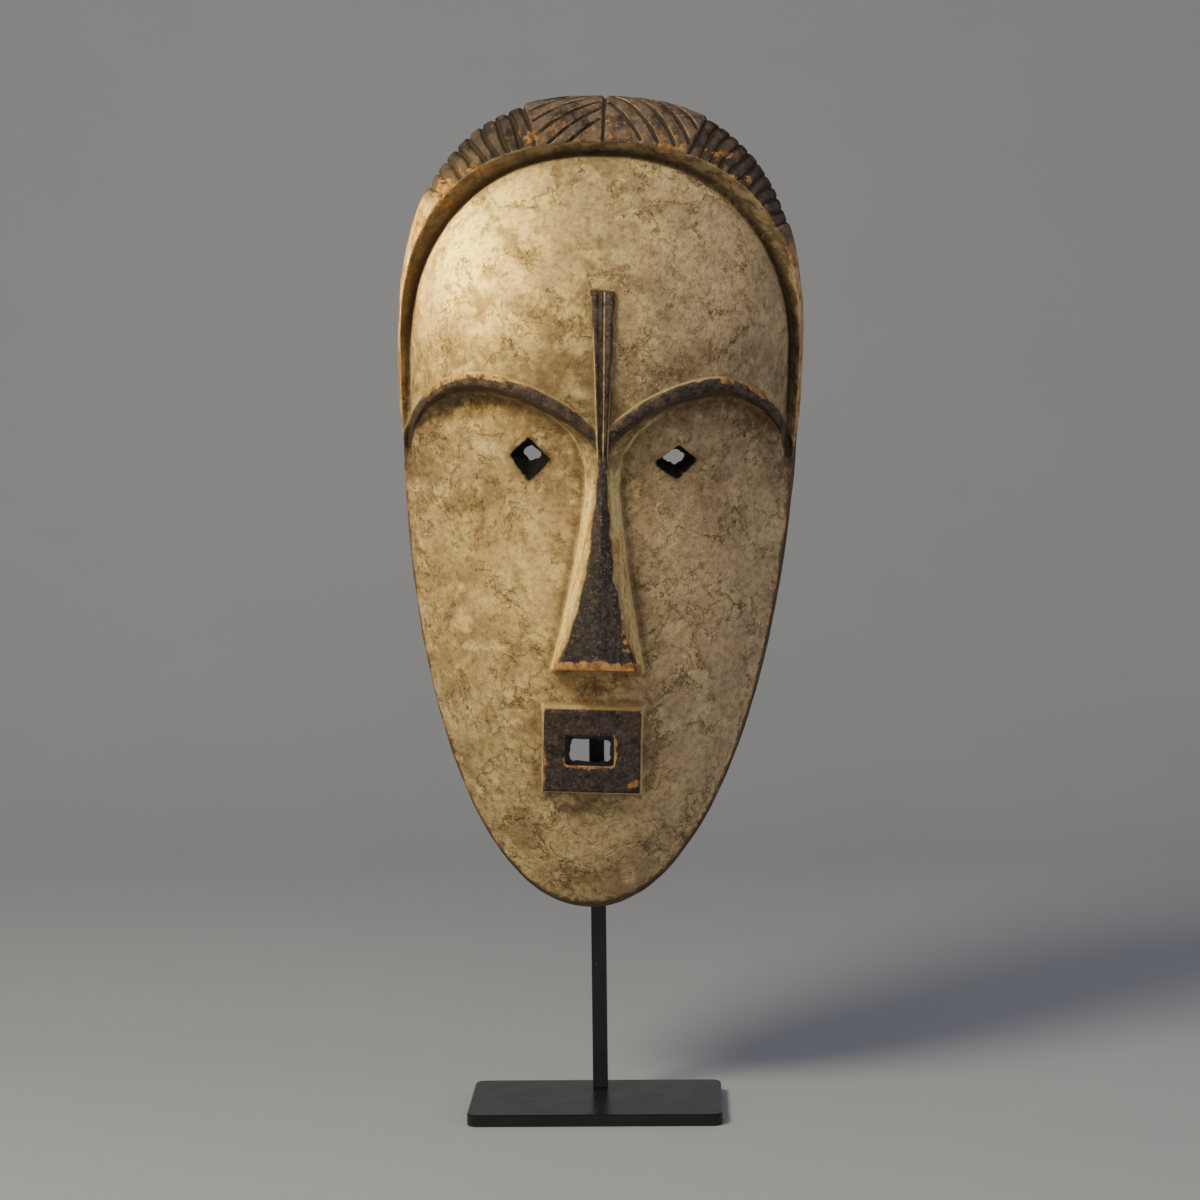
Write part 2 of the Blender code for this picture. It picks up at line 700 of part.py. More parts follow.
def build_rod(top, steel):
    bottom = FOOT_THICKNESS + CONTACT_GAP
    size = (ROD_SIDE, ROD_SIDE, top - bottom)
    rod = bevelled_box("upright_rod", size, (ROD_X, ROD_Y, 0.5 * (top + bottom)), ROD_EDGE_BEVEL)
    rod.data.materials.append(steel)


def build_foot(steel):
    """A flat plate with rounded corners."""
    shape = bmesh.new()
    bmesh.ops.create_cube(shape, size=1.0)
    bmesh.ops.scale(shape, vec=(FOOT_WIDTH, FOOT_DEPTH, FOOT_THICKNESS), verts=shape.verts)
    bmesh.ops.translate(shape, vec=(0.0, 0.0, 0.5 * FOOT_THICKNESS), verts=shape.verts)
    upright = [edge for edge in shape.edges if abs(edge.verts[0].co.z - edge.verts[1].co.z) > 0.001]
    bmesh.ops.bevel(shape, geom=upright, offset=FOOT_CORNER_RADIUS, segments=6, profile=0.5, affect="EDGES")
    mesh = bpy.data.meshes.new("base_plate")
    shape.to_mesh(mesh)
    shape.free()
    foot = bpy.data.objects.new("base_plate", mesh)
    bpy.context.scene.collection.objects.link(foot)
    bevel = foot.modifiers.new("bevel", "BEVEL")
    bevel.width = FOOT_EDGE_BEVEL
    bevel.segments = 1
    foot.data.materials.append(steel)


def build():
    clear_scene()
    mask = build_mask()
    steel = material("dark_steel", (0.035, 0.032, 0.030), 0.45, 0.9)
    build_rod(roof_over_rod(mask) - ROD_HEADROOM, steel)
    build_foot(steel)


build()
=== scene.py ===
"""The looks of a fang ngil mask on its steel stand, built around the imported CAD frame.

Metres, +Z up. The carved mask is one fine mesh in a frame of its own: x to the right as it is seen, height up
from the chin, and depth forward of the plane that the hollow opens on. It replaces the faceted CAD solid.
"""

import math

import bmesh
import bpy
import numpy as np
from mathutils import Euler, Matrix, Vector

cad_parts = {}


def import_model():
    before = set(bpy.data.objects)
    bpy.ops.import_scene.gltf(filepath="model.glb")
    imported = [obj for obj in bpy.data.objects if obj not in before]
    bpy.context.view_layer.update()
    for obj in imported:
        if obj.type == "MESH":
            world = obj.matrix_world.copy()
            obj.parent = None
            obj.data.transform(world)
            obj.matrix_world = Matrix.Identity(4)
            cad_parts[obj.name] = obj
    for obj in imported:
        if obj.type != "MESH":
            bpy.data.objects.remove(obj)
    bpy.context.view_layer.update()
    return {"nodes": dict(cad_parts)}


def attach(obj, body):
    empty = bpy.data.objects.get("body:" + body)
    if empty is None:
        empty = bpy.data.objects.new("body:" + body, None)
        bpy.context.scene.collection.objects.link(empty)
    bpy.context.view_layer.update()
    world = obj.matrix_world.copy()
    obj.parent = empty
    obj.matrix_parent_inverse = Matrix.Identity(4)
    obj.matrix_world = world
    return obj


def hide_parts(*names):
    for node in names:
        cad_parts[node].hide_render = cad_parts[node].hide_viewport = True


# Camera, found from the foot, the rod and the mask's outline in the photograph
CAMERA_POSITION = (0.0558, -1.8983, 0.4588)
CAMERA_YAW = -0.0262
CAMERA_PITCH = -0.0624
CAMERA_ROLL = -0.0114
FOCAL_PIXELS = 2882.0
IMAGE_PIXELS = 1200.0
SENSOR_MM = 36.0

# Where the mask hangs
MASK_PLACE = (-0.004, 0.0226, 0.133)
LEAN_BACK = math.radians(3.0)
LEAN_SIDE = math.radians(1.9)

# Outline of the mask, as in the CAD
WIDEST_HEIGHT = 0.365
HALF_WIDTH = 0.1327
CROWN_RISE = 0.1645
MASK_HEIGHT = WIDEST_HEIGHT + CROWN_RISE
UPPER_POWER = 2.5
LOWER_POWER = 2.07
EDGE_INSET = 0.0048
EDGE_DROP = WIDEST_HEIGHT - 1.2 * EDGE_INSET
SIDE_WALL_DEPTH = 0.012
CROWN_DRAW_IN = 0.008
WAIST_DEPTH = 0.03
MIDLINE_BOW = 0.0048

# Face and forehead
EDGE_DEPTH_AT_CHIN = 0.03
EDGE_DEPTH_SLOPE = 0.082
FACE_RISE = 0.052
CHIN_ROUNDING = 0.085
CHIN_ROUNDING_POWER = 1.25
FACE_POWER = 2.2
GROOVE_SIZE = (0.124, 0.1235, 0.345)
GROOVE_POWER = 2.2
DOME_DEPTH = 0.149
DOME_FULL_HEIGHT = 0.43
DOME_FALL = 1.66
DOME_POWER = 2.4
DOME_ROUNDING = 0.6

# Hair band
BAND_SIZE = (0.129, 0.1285, 0.355)
BAND_SHOULDER = 0.66
FOOT_CUT = 0.0045
FOOT_CUT_HALF_WIDTH = 0.0016
GROOVE_END = (0.345, 0.05)
LEFT_RIDGES = (math.radians(108.5), math.radians(137.0), 8, 0.0021)
RIGHT_RIDGES = (math.radians(36.0), math.radians(66.0), 10, 0.0012)
PARTING_X = 0.0007
STROKE_DEPTH = 0.0026
STROKE_HALF_WIDTH = 0.0018
STROKES_EACH_SIDE = 6
LEFT_STROKE_FOOT = math.radians(107.0)
RIGHT_STROKE_FOOT = math.radians(79.5)
RIGHT_STROKE_PITCH = math.radians(4.7)
RIGHT_STROKE_SLOPE = 3.2
RIGHT_STROKE_LIMIT = math.radians(67.0)
BLOCK_STEP = 0.001

# Brows, forehead bar, nose and mouth
BROW_APEX_X = 0.0785
BROW_BASE = 0.3
BROW_RISE = 0.044
BROW_OUTER = (0.0478, 2.0)
BROW_INNER_POWER = 1.5
BROW_HALF_WIDTH = 0.0046
BROW_PROUD = 0.003
BAR_TOP = 0.399
BAR_BOTTOM = 0.2975
BAR_HALF_WIDTHS = (0.0073, 0.0034)
BAR_PROUD = 0.004
BAR_GROOVE = 0.0026
BAR_GROOVES = (-0.32, 0.12)
BAR_GROOVE_HALF_WIDTH = 0.0009
NOSE_ROOT = 0.304
NOSE_FLARE_TOP = 0.29
NOSE_BOTTOM = 0.1597
NOSE_DEPTH = 0.119
NOSE_ROOT_HALF_WIDTH = 0.011
NOSE_FOOT_FLARE = 0.0205
NOSE_FLARE_POWER = 1.45
RIDGE_ROOT_HALF_WIDTH = 0.0026
RIDGE_FOOT_FLARE = 0.023
NOSE_KEEL = 0.0016
STRIP_HEIGHTS = (0.275, 0.29, 0.299, 0.308, 0.313, 0.32, 0.326)
STRIP_FLARE = (0.0, 0.0012, 0.003, 0.0085, 0.012, 0.0205, 0.028)
MOUTH_X = 0.0015
MOUTH_HEIGHT = 0.1122
MOUTH_FRONT = (0.063, 0.0575)
MOUTH_PROUD = 0.01
MOUTH_TILT = math.radians(15.7)
MOUTH_SIDE_SLOPE = 6.0
MOUTH_HOLE = (0.0304, 0.0188)
MOUTH_HOLE_BACK = (0.025, 0.013)
MOUTH_HOLE_SHIFT = -0.0015
MOUTH_HOLE_CHIPS = 0.0009
EYES = (
    (-0.0432, 0.2955, (0.0169, 0.0188, 0.0135, 0.0134), (0.0016, 0.005)),
    (0.053, 0.2954, (0.015, 0.0135, 0.0185, 0.0108), (-0.0028, 0.005)),
)
EYE_BACK = (0.0104, 0.0048)
EYE_LENGTH = 0.0125
EYE_SOOT_AND_SHADE = 0.0026

# Hollow
HOLLOW_SIZE = (HALF_WIDTH - 0.0125, CROWN_RISE - 0.02, WIDEST_HEIGHT - 0.014)
HOLLOW_POWER = 2.6

# Mesh fineness
GRID_STEP = 0.001
VOXEL = 0.001
MOST_TRIANGLES = 190000

# Where looks belong: spots as (x, height, reach across, reach up, strength), and worn lengths of the brows
NOSE_STAIN_HEIGHTS = (0.16, 0.168, 0.183, 0.203, 0.2226, 0.282, 0.31)
NOSE_STAIN_WIDTHS = (0.027, 0.0245, 0.0182, 0.0128, 0.0086, 0.003, 0.0026)
WORN_SPOTS = (
    (0.03, 0.088, 0.006, 0.005, 0.6),
    (-0.029, 0.098, 0.003, 0.022, 0.6),
    (0.022, 0.182, 0.005, 0.014, 0.6),
    (0.044, 0.491, 0.014, 0.004, 0.65),
    (-0.1, 0.462, 0.01, 0.014, 0.65),
    (-0.08, 0.476, 0.012, 0.006, 0.6),
    (0.084, 0.474, 0.02, 0.005, 0.5),
    (0.104, 0.448, 0.005, 0.02, 0.5),
    (-0.044, 0.497, 0.012, 0.005, 0.65),
    (0.074, 0.489, 0.01, 0.004, 0.6),
)
WORN_BROWS = ((-0.118, -0.05, 0.62), (0.07, 0.118, 0.62))
# Darker spots, part grime and part painted shade: the spots under the nose, under and beside the mouth frame,
# beside the nose and under the brows stand for shade
GRIME_AND_SHADE_SPOTS = (
    (0.026, 0.275, 0.008, 0.022, 0.7),
    (-0.017, 0.297, 0.005, 0.012, 0.6),
    (0.004, 0.151, 0.022, 0.007, 1.0),
    (-0.037, 0.112, 0.005, 0.026, 0.55),
    (0.04, 0.112, 0.005, 0.026, 0.6),
    (0.002, 0.074, 0.032, 0.006, 0.8),
    (-0.07, 0.27, 0.03, 0.035, 0.45),
    (0.075, 0.275, 0.03, 0.04, 0.5),
    (0.03, 0.235, 0.012, 0.04, 0.5),
    (0.000, 0.02, 0.05, 0.012, 0.5),
)
# Spots where the forehead's wash turns whiter: partly real white dabs, partly painted light where the lamp
# from the upper left falls on the forehead
WHITE_DAB_AND_PAINTED_LIGHT_SPOTS = (
    (-0.085, 0.43, 0.026, 0.045, 1.0),
    (-0.05, 0.46, 0.035, 0.025, 0.8),
    (0.02, 0.45, 0.05, 0.03, 0.35),
    (-0.07, 0.385, 0.03, 0.025, 0.5),
)

# Pale lines, partly rubbed edges and wash left in grooves and partly painted highlights on lit edges: the
# field that each one follows, its half width in millimetres and its strength
PALE_AND_HIGHLIGHT_LINES = (
    ("bar_line", 0.55, 0.9), ("brow_line", 0.7, 0.8), ("nose_line", 1.3, 0.5), ("mouth_line", 0.75, 0.6),
)

# Colours
KAOLIN = (0.64, 0.455, 0.215)
KAOLIN_DARK = (0.37, 0.25, 0.11)
KAOLIN_PALE = (0.81, 0.615, 0.275)
KAOLIN_GREY_AND_SHADE = (0.5, 0.375, 0.255)
KAOLIN_WHITE = (0.95, 0.76, 0.29)
FLANK_PALE_AND_HIGHLIGHT = (0.98, 0.76, 0.33)
FLANK_DARK = (0.6, 0.35, 0.115)
MOTTLE = (0.56, 0.52, 0.45)
TIDE_HALO = (0.23, 0.15, 0.058)
TIDE_LINE = (0.085, 0.052, 0.02)
GRIME_AND_PAINTED_SHADE = (0.115, 0.07, 0.03)
STAIN = (0.012, 0.009, 0.009)
STAIN_SCUFFED = (0.086, 0.063, 0.054)
STAIN_BROWN = (0.16, 0.104, 0.07)
STAIN_WORN = (0.23, 0.15, 0.09)
WORN_DARK = (0.21, 0.085, 0.025)
WORN_LIGHT = (0.53, 0.275, 0.09)
CHIP = (0.34, 0.275, 0.21)
HAIR = (0.22, 0.145, 0.09)
HAIR_DARK = (0.036, 0.026, 0.023)
HAIR_GREY = (0.12, 0.103, 0.102)
CUT_BLACK_AND_SHADOW = (0.012, 0.009, 0.007)
RECESS = (0.38, 0.29, 0.155)
RECESS_DARK_AND_SHADE = (0.14, 0.092, 0.045)
RIM = (0.085, 0.045, 0.026)
WOOD = (0.23, 0.145, 0.08)
WOOD_DARK = (0.12, 0.074, 0.042)
OPENING_STAIN_AND_SHADE = (0.003, 0.002, 0.002)
STEEL = (0.006, 0.0057, 0.0062)
STEEL_BROWN = (0.0105, 0.0095, 0.0095)
STEEL_BRIGHT = (0.16, 0.148, 0.136)
GROUND = (0.475, 0.488, 0.52)
GROUND_OTHER = (0.505, 0.518, 0.55)

# Studio
BACKDROP_START = 1.1
BACKDROP_BEND = 0.9
KEY_COLOUR = (1.0, 0.92, 0.68)
LIGHTS = (
    ("key", (-1.05, -1.2, 1.65), (0.0, 0.0, 0.42), 0.7, 180.0, 34.0, KEY_COLOUR),
    ("forehead", (-0.85, -1.05, 1.1), (-0.096, -0.08, 0.56), 0.05, 7.0, 0.14, (1.0, 0.84, 0.36)),
    ("nose", (-1.5, -0.42, 0.62), (-0.02, -0.1, 0.36), 0.1, 11.0, 0.07, (1.0, 0.8, 0.3)),
    ("front_fill", (-0.2, -2.6, 1.0), (0.0, 0.0, 0.4), 1.4, 180.0, 7.4, (1.0, 1.0, 1.0)),
    ("right_fill", (1.5, -0.5, 0.8), (0.0, 0.0, 0.4), 1.2, 180.0, 3.5, (1.0, 0.96, 0.96)),
)
AMBIENT = (0.59, 0.6, 0.72)
AMBIENT_STRENGTH = 0.29


def ease(value):
    value = np.clip(value, 0.0, 1.0)
    return value * value * (3.0 - 2.0 * value)


def mix(first, second, share):
    return first + (second - first) * share


def bell(value, width):
    """1 at zero, falling off softly over this width."""
    return np.exp(-((value / width) ** 2))


def in_mm(value, limit=0.01):
    """Signed distances in millimetres, held within a limit given in metres."""
    return 1000.0 * np.clip(value, -limit, limit)


def midline(height):
    return MIDLINE_BOW * np.sin(np.pi * height / MASK_HEIGHT)


def superellipse(turn, size):
    """Points about the middle of the widest level. The size is half width, rise and drop."""
    across, up = np.cos(turn), np.sin(turn)
    power = np.where(up > 0.0, UPPER_POWER, LOWER_POWER)
    x = np.sign(across) * np.abs(across) ** (2.0 / power) * size[0]
    climb = np.sign(up) * np.abs(up) ** (2.0 / power) * np.where(up > 0.0, size[1], size[2])
    return x, WIDEST_HEIGHT + climb


def ray_length(angle, size, power=UPPER_POWER):
    """How far a ray from the middle of the widest level runs before it meets a superellipse."""
    across, up = np.abs(np.cos(angle)) / size[0], np.sin(angle)
    above = (across**power + (np.maximum(up, 0.0) / size[1]) ** power) ** (-1.0 / power)
    low = across**LOWER_POWER + (np.maximum(-up, 0.0) / size[2]) ** LOWER_POWER
    return np.where(up > 0.0, above, low ** (-1.0 / LOWER_POWER))


def edge_depth(height):
    return EDGE_DEPTH_AT_CHIN + EDGE_DEPTH_SLOPE * height


def edge_half_width(height):
    fall = np.clip((WIDEST_HEIGHT - height) / EDGE_DROP, 0.0, 0.9999)
    return (HALF_WIDTH - EDGE_INSET) * (1.0 - fall**LOWER_POWER) ** (1.0 / LOWER_POWER)


def groove_depth(height):
    above = height - WIDEST_HEIGHT
    return 0.06 + 0.32 * above + 1.1 * above**2


def band_depth(height):
    above = height - WIDEST_HEIGHT
    return 0.07 + 0.4 * above + 0.54 * above**2


def face_depth(x, height):
    """Depth of the face below the brows."""
    chin = (np.maximum(height, 0.0) / CHIN_ROUNDING) ** CHIN_ROUNDING_POWER
    aside = np.minimum(np.abs(x) / edge_half_width(height), 1.0)
    return edge_depth(height) + FACE_RISE * (1.0 - np.exp(-chin)) * (1.0 - aside**FACE_POWER)


def face_depth_at(x, height):
    return float(face_depth(np.array(x), np.array(height)))


def dome_depth(x, height):
    """Depth of the forehead above the brows."""
    middle = DOME_DEPTH - DOME_FALL * np.maximum(DOME_FULL_HEIGHT - height, 0.0) ** 2
    above = np.maximum(height - WIDEST_HEIGHT, 0.0) / GROOVE_SIZE[1]
    reach = (np.abs(x) / GROOVE_SIZE[0]) ** GROOVE_POWER + above**GROOVE_POWER
    reach = np.minimum(reach ** (1.0 / GROOVE_POWER), 1.0)
    groove = groove_depth(height)
    return groove + (middle - groove) * (1.0 - reach**DOME_POWER) ** DOME_ROUNDING


def brow_line(side, count=180):
    """Points along one brow from the nose outwards, and how far along each one is."""
    share = np.linspace(0.0, 1.0, count)
    turn = np.pi * share
    inner = share < 0.5
    power = np.where(inner, BROW_INNER_POWER, BROW_OUTER[1])
    reach = np.where(inner, BROW_APEX_X - side * midline(BROW_BASE), BROW_OUTER[0])
    away = -np.sign(np.cos(turn)) * np.abs(np.cos(turn)) ** (2.0 / power) * reach
    height = BROW_BASE + BROW_RISE * np.maximum(np.sin(turn), 0.0) ** (2.0 / power)
    return side * (BROW_APEX_X + away), height, share


def brow_distance(x, height):
    """Signed distance to the nearer brow line, plus above it, and the share of the way along that brow."""
    distance = np.where(height > 0.32, 1.0, -1.0)
    along = np.zeros(x.shape)
    near = (height > 0.28) & (height < 0.372)
    for side in (-1.0, 1.0):
        line_x, line_height, share = brow_line(side)
        own = near & (side * (x - midline(BROW_BASE)) >= 0.0)
        here_x, here_height = x[own], height[own]
        best = np.full(here_x.shape, 1.0)
        nearest = np.zeros(here_x.shape, int)
        for index in range(len(line_x)):
            apart = np.hypot(here_x - line_x[index], here_height - line_height[index])
            closer = apart < best
            best[closer] = apart[closer]
            nearest[closer] = index
        ahead = np.minimum(nearest + 1, len(line_x) - 1)
        behind = np.maximum(nearest - 1, 0)
        run, climb = line_x[ahead] - line_x[behind], line_height[ahead] - line_height[behind]
        length = np.maximum(np.hypot(run, climb), 1e-9)
        across = side * (run * (here_height - line_height[nearest])
                         - climb * (here_x - line_x[nearest])) / length
        middle = (nearest > 0) & (nearest < len(line_x) - 1)
        best = np.where(middle, np.abs(across), best)
        distance[own] = np.where(across > 0.0, best, -best)
        along[own] = share[nearest]
    return distance, along


def band_place(x, height):
    """Angle, and radius at this place and at the band's inner and outer edges."""
    angle = np.arctan2(height - WIDEST_HEIGHT, x)
    radius = np.hypot(x, height - WIDEST_HEIGHT)
    inner = ray_length(angle, BAND_SIZE)
    outer = ray_length(angle, (HALF_WIDTH, CROWN_RISE, WIDEST_HEIGHT))
    return angle, radius, inner, outer


def band_front(x, height):
    """Depth of the hair band and the wall on its inner side, and how surely a place belongs to them."""
    angle, radius, inner, outer = band_place(x, height)
    front = band_depth(WIDEST_HEIGHT + inner * np.sin(angle))
    groove = ray_length(angle, GROOVE_SIZE, GROOVE_POWER)
    across = np.clip((radius - inner) / (outer - inner), 0.0, 1.0)
    over = front * (BAND_SHOULDER + (1.0 - BAND_SHOULDER) * np.sqrt(1.0 - across**2))
    foot = groove_depth(WIDEST_HEIGHT + groove * np.sin(angle))
    climb = np.clip((radius - groove) / (inner - groove), 0.0, 1.0)
    wall = mix(foot, front, mix(climb, ease(climb), 0.6))
    return np.where(radius > inner, over, wall), radius - groove


def nose_fall(height):
    """How far down the flaring part of the nose a place is: 0 at its top, 1 at its end."""
    return np.maximum(NOSE_FLARE_TOP - height, 0.0) / (NOSE_FLARE_TOP - NOSE_BOTTOM)


def nose_foot(height):
    """Half width of the nose on the face. Its sides run on upwards as thin strips under the brows."""
    foot = NOSE_ROOT_HALF_WIDTH + NOSE_FOOT_FLARE * nose_fall(height) ** NOSE_FLARE_POWER
    return foot + np.interp(height, STRIP_HEIGHTS, STRIP_FLARE)


def ridge_width(height):
    return RIDGE_ROOT_HALF_WIDTH + RIDGE_FOOT_FLARE * nose_fall(height) ** 2


def nose_front(x, height, face):
    foot, ridge = nose_foot(height), ridge_width(height)
    aside = np.abs(x - midline(height))
    side = face_depth(foot, height)
    flank = np.clip((foot - aside) / (foot - ridge), 0.0, 1.0)
    depth = side + 0.0012 + (NOSE_DEPTH - side) * (flank + 0.12 * np.sin(np.pi * flank))
    keel = np.clip((ridge - aside) / ridge, 0.0, 1.0)
    depth += NOSE_KEEL * keel * ease((NOSE_FLARE_TOP - height) / 0.03)
    inside = ease((foot + 0.0008 - aside) / 0.0012)
    inside *= ease((height - NOSE_BOTTOM) / 0.002) * ease((0.334 - height) / 0.01)
    return mix(face, np.maximum(depth, face), inside)


def bar_place(x, height):
    """Place across the forehead bar, from -1 to 1, and the bar's half width here."""
    down = (BAR_TOP - height) / (BAR_TOP - BAR_BOTTOM)
    half = mix(BAR_HALF_WIDTHS[0], BAR_HALF_WIDTHS[1], np.clip(down, 0.0, 1.0))
    return (x - midline(height)) / half, half


def bar_front(x, height, surface):
    place, half = bar_place(x, height)
    cut = np.zeros(x.shape)
    for middle in BAR_GROOVES:
        cut = np.maximum(cut, bell((place - middle) * half, BAR_GROOVE_HALF_WIDTH))
    raised = BAR_PROUD - BAR_GROOVE * cut
    inside = ease((1.06 - np.abs(place)) * half / 0.0012)
    inside *= ease((BAR_TOP + 0.0006 - height) / 0.0012) * ease((height - BAR_BOTTOM) / 0.003)
    return surface + raised * inside


def mouth_place(x, height, forward=MOUTH_PROUD):
    """Across and up in the mouth frame's own tilted plane, and that plane's depth here."""
    surface = face_depth_at(MOUTH_X, MOUTH_HEIGHT)
    rise = (height - MOUTH_HEIGHT + forward * math.sin(MOUTH_TILT)) / math.cos(MOUTH_TILT)
    depth = surface + rise * math.sin(MOUTH_TILT) + forward * math.cos(MOUTH_TILT)
    return x - MOUTH_X, rise, depth


def mouth_inset(x, height):
    """How far inside the frame's front a place is."""
    across, rise, depth = mouth_place(x, height)
    inset = np.minimum(0.5 * MOUTH_FRONT[0] - np.abs(across), 0.5 * MOUTH_FRONT[1] - np.abs(rise))
    return inset, depth


def mouth_front(x, height, face):
    inset, depth = mouth_inset(x, height)
    depth = depth - np.maximum(0.0012 - inset, 0.0) - np.maximum(-inset, 0.0) * MOUTH_SIDE_SLOPE
    near = np.abs(x - MOUTH_X) < 0.045
    near &= np.abs(height - MOUTH_HEIGHT) < 0.045
    return np.where(near, np.maximum(face, depth), face)


def brow_width(along):
    return BROW_HALF_WIDTH * (0.72 + 0.28 * np.sin(np.pi * np.minimum(along * 1.25, 1.0)))


def groove_share(x, height):
    """The groove round the forehead runs out above the brows, and sooner on the left."""
    return ease((height - GROOVE_END[0] + 0.4 * np.maximum(x, 0.0)) / GROOVE_END[1])


def carved_front(x, height):
    """Depth of the whole carved front over a grid of places."""
    face = face_depth(x, height)
    face = nose_front(x, height, face)
    face = mouth_front(x, height, face)
    above, along = brow_distance(x, height)
    width = brow_width(along)
    band, past_groove = band_front(x, height)
    forehead = np.where(past_groove > 0.0, band, dome_depth(x, height))
    forehead = forehead - FOOT_CUT * groove_share(x, height) * bell(past_groove, FOOT_CUT_HALF_WIDTH)
    proud = BROW_PROUD * (1.0 - 0.6 * ease((along - 0.7) / 0.3))
    step = ease((above / width + 1.55) / 0.75)
    ridge = np.clip(1.0 - np.abs(above / width) ** 4.0, 0.0, 1.0) ** 0.6
    front = mix(face, forehead, step) + proud * ridge * step
    front = np.where((height > 0.3) & (past_groove > 0.0), np.maximum(front, band), front)
    return np.where(above > -0.002, bar_front(x, height, front), front)


def hollow_depth(x, height):
    above = height - WIDEST_HEIGHT
    power = np.where(above > 0.0, UPPER_POWER, LOWER_POWER)
    limit = np.where(above > 0.0, HOLLOW_SIZE[1], HOLLOW_SIZE[2])
    reach = ((np.abs(x) / HOLLOW_SIZE[0]) ** power + (np.abs(above) / limit) ** power) ** (1.0 / power)
    full = 0.0755 + 0.064 * height + 0.03 * ease((height - 0.322) / 0.105)
    return full * np.sqrt(np.maximum(1.0 - reach**HOLLOW_POWER, 0.0))


def behind_share(x, height, depth, skin):
    """1 on the hollow's wall and the back rim, tested a little way in towards the hollow's middle."""
    reach = np.hypot(x, height - WIDEST_HEIGHT)
    inward = 1.0 - np.minimum(skin / np.maximum(reach, 1e-6), 0.9)
    limit = hollow_depth(x * inward, WIDEST_HEIGHT + (height - WIDEST_HEIGHT) * inward) + skin
    return 1.0 - ease((depth - limit) / 0.0015)


def make_object(name, points, faces):
    mesh = bpy.data.meshes.new(name)
    mesh.from_pydata([tuple(point) for point in points], [], faces)
    mesh.update()
    made = bpy.data.objects.new(name, mesh)
    bpy.context.scene.collection.objects.link(made)
    return made


def in_frame(x, height, depth):
    """Mask-frame coordinates as mesh coordinates."""
    return np.stack(np.broadcast_arrays(x, -depth, height), axis=-1).reshape(-1, 3)


def quads_between(rows, columns, closed):
    """Quads over a grid of points numbered row by row."""
    index = np.arange(rows * columns).reshape(rows, columns)
    if closed:
        index = np.concatenate([index, index[:, :1]], axis=1)
    corners = (index[:-1, :-1], index[:-1, 1:], index[1:, 1:], index[1:, :-1])
    return np.stack([corner.ravel() for corner in corners], axis=1).tolist()


def front_block():
    """A solid slab whose front is the carved height field."""
    x = np.arange(-0.14, 0.1401, GRID_STEP)
    height = np.arange(-0.006, 0.5361, GRID_STEP)
    columns, rows = len(x), len(height)
    grid_x, grid_height = np.meshgrid(x, height)
    top = in_frame(grid_x, grid_height, carved_front(grid_x, grid_height))
    bottom = in_frame(grid_x, grid_height, np.full(grid_x.shape, -0.01))
    faces = quads_between(rows, columns, False)
    count = rows * columns
    faces += [[count + corner for corner in reversed(face)] for face in faces]
    border = list(range(columns)) + [row * columns + columns - 1 for row in range(1, rows)]
    border += [count - 1 - step for step in range(1, columns)]
    border += [row * columns for row in range(rows - 2, 0, -1)]
    for here, after in zip(border, border[1:] + border[:1]):
        faces.append([after, here, count + here, count + after])
    return make_object("mask", np.concatenate([top, bottom]), faces)


def closed_loft(name, rings):
    """A closed solid through rings of equally many points, with flat ends."""
    count = len(rings[0])
    faces = quads_between(len(rings), count, True)
    faces.append(list(range(count))[::-1])
    faces.append([(len(rings) - 1) * count + index for index in range(count)])
    made = make_object(name, np.concatenate(rings), faces)
    make_outward(made.data)
    return made


def make_outward(mesh):
    shape = bmesh.new()
    shape.from_mesh(mesh)
    bmesh.ops.recalc_face_normals(shape, faces=shape.faces)
    shape.to_mesh(mesh)
    shape.free()


def outline_solid():
    """Everything inside the outline. The sides lean in towards the face, and the crown draws in behind."""
    turn = np.linspace(0.0, 2.0 * np.pi, 720, endpoint=False)
    rings = []
    for depth in (-0.006, 0.012, 0.03, 0.045, 0.06, 0.08, 0.1, 0.2):
        x, height = superellipse(turn, (HALF_WIDTH, CROWN_RISE, WIDEST_HEIGHT))
        lean = np.clip((depth - SIDE_WALL_DEPTH) / (edge_depth(height) - SIDE_WALL_DEPTH), 0.0, 1.0)
        below = 1.0 - ease((height - 0.3) / 0.04)
        angle = np.arctan2(height - WIDEST_HEIGHT, x)
        draw = CROWN_DRAW_IN * np.maximum(np.sin(angle), 0.0) ** 2
        shoulder = BAND_SHOULDER * band_depth(height)
        back = np.interp(depth, (0.0, WAIST_DEPTH), (1.0, 0.75))
        back = np.where(depth > WAIST_DEPTH,
                        0.75 * np.clip((shoulder - depth) / (shoulder - WAIST_DEPTH), 0.0, 1.0), back)
        inset = EDGE_INSET * lean * below + draw * back
        radius = np.hypot(x, height - WIDEST_HEIGHT)
        shrink = 1.0 - inset / radius
        rings.append(in_frame(x * shrink, WIDEST_HEIGHT + (height - WIDEST_HEIGHT) * shrink, depth))
    return closed_loft("outline", rings)


def hollow_solid():
    turn = np.linspace(0.0, 2.0 * np.pi, 160, endpoint=False)
    x, height = superellipse(turn, HOLLOW_SIZE)
    rings = [in_frame(x, height, -0.02)]
    for scale in np.sin(np.linspace(0.5 * np.pi, 0.03, 30)):
        ring_x, ring_height = x * scale, WIDEST_HEIGHT + (height - WIDEST_HEIGHT) * scale
        rings.append(in_frame(ring_x, ring_height, hollow_depth(ring_x, ring_height)))
    return closed_loft("hollow", rings)


def rectangle_points(size, each=8):
    """Points round a rectangle's edge, evenly along each side."""
    corners = np.array(((-0.5, -0.5), (0.5, -0.5), (0.5, 0.5), (-0.5, 0.5))) * size
    steps = np.linspace(0.0, 1.0, each, endpoint=False)[:, None]
    return np.concatenate([mix(corners[side], corners[(side + 1) % 4], steps) for side in range(4)]).T


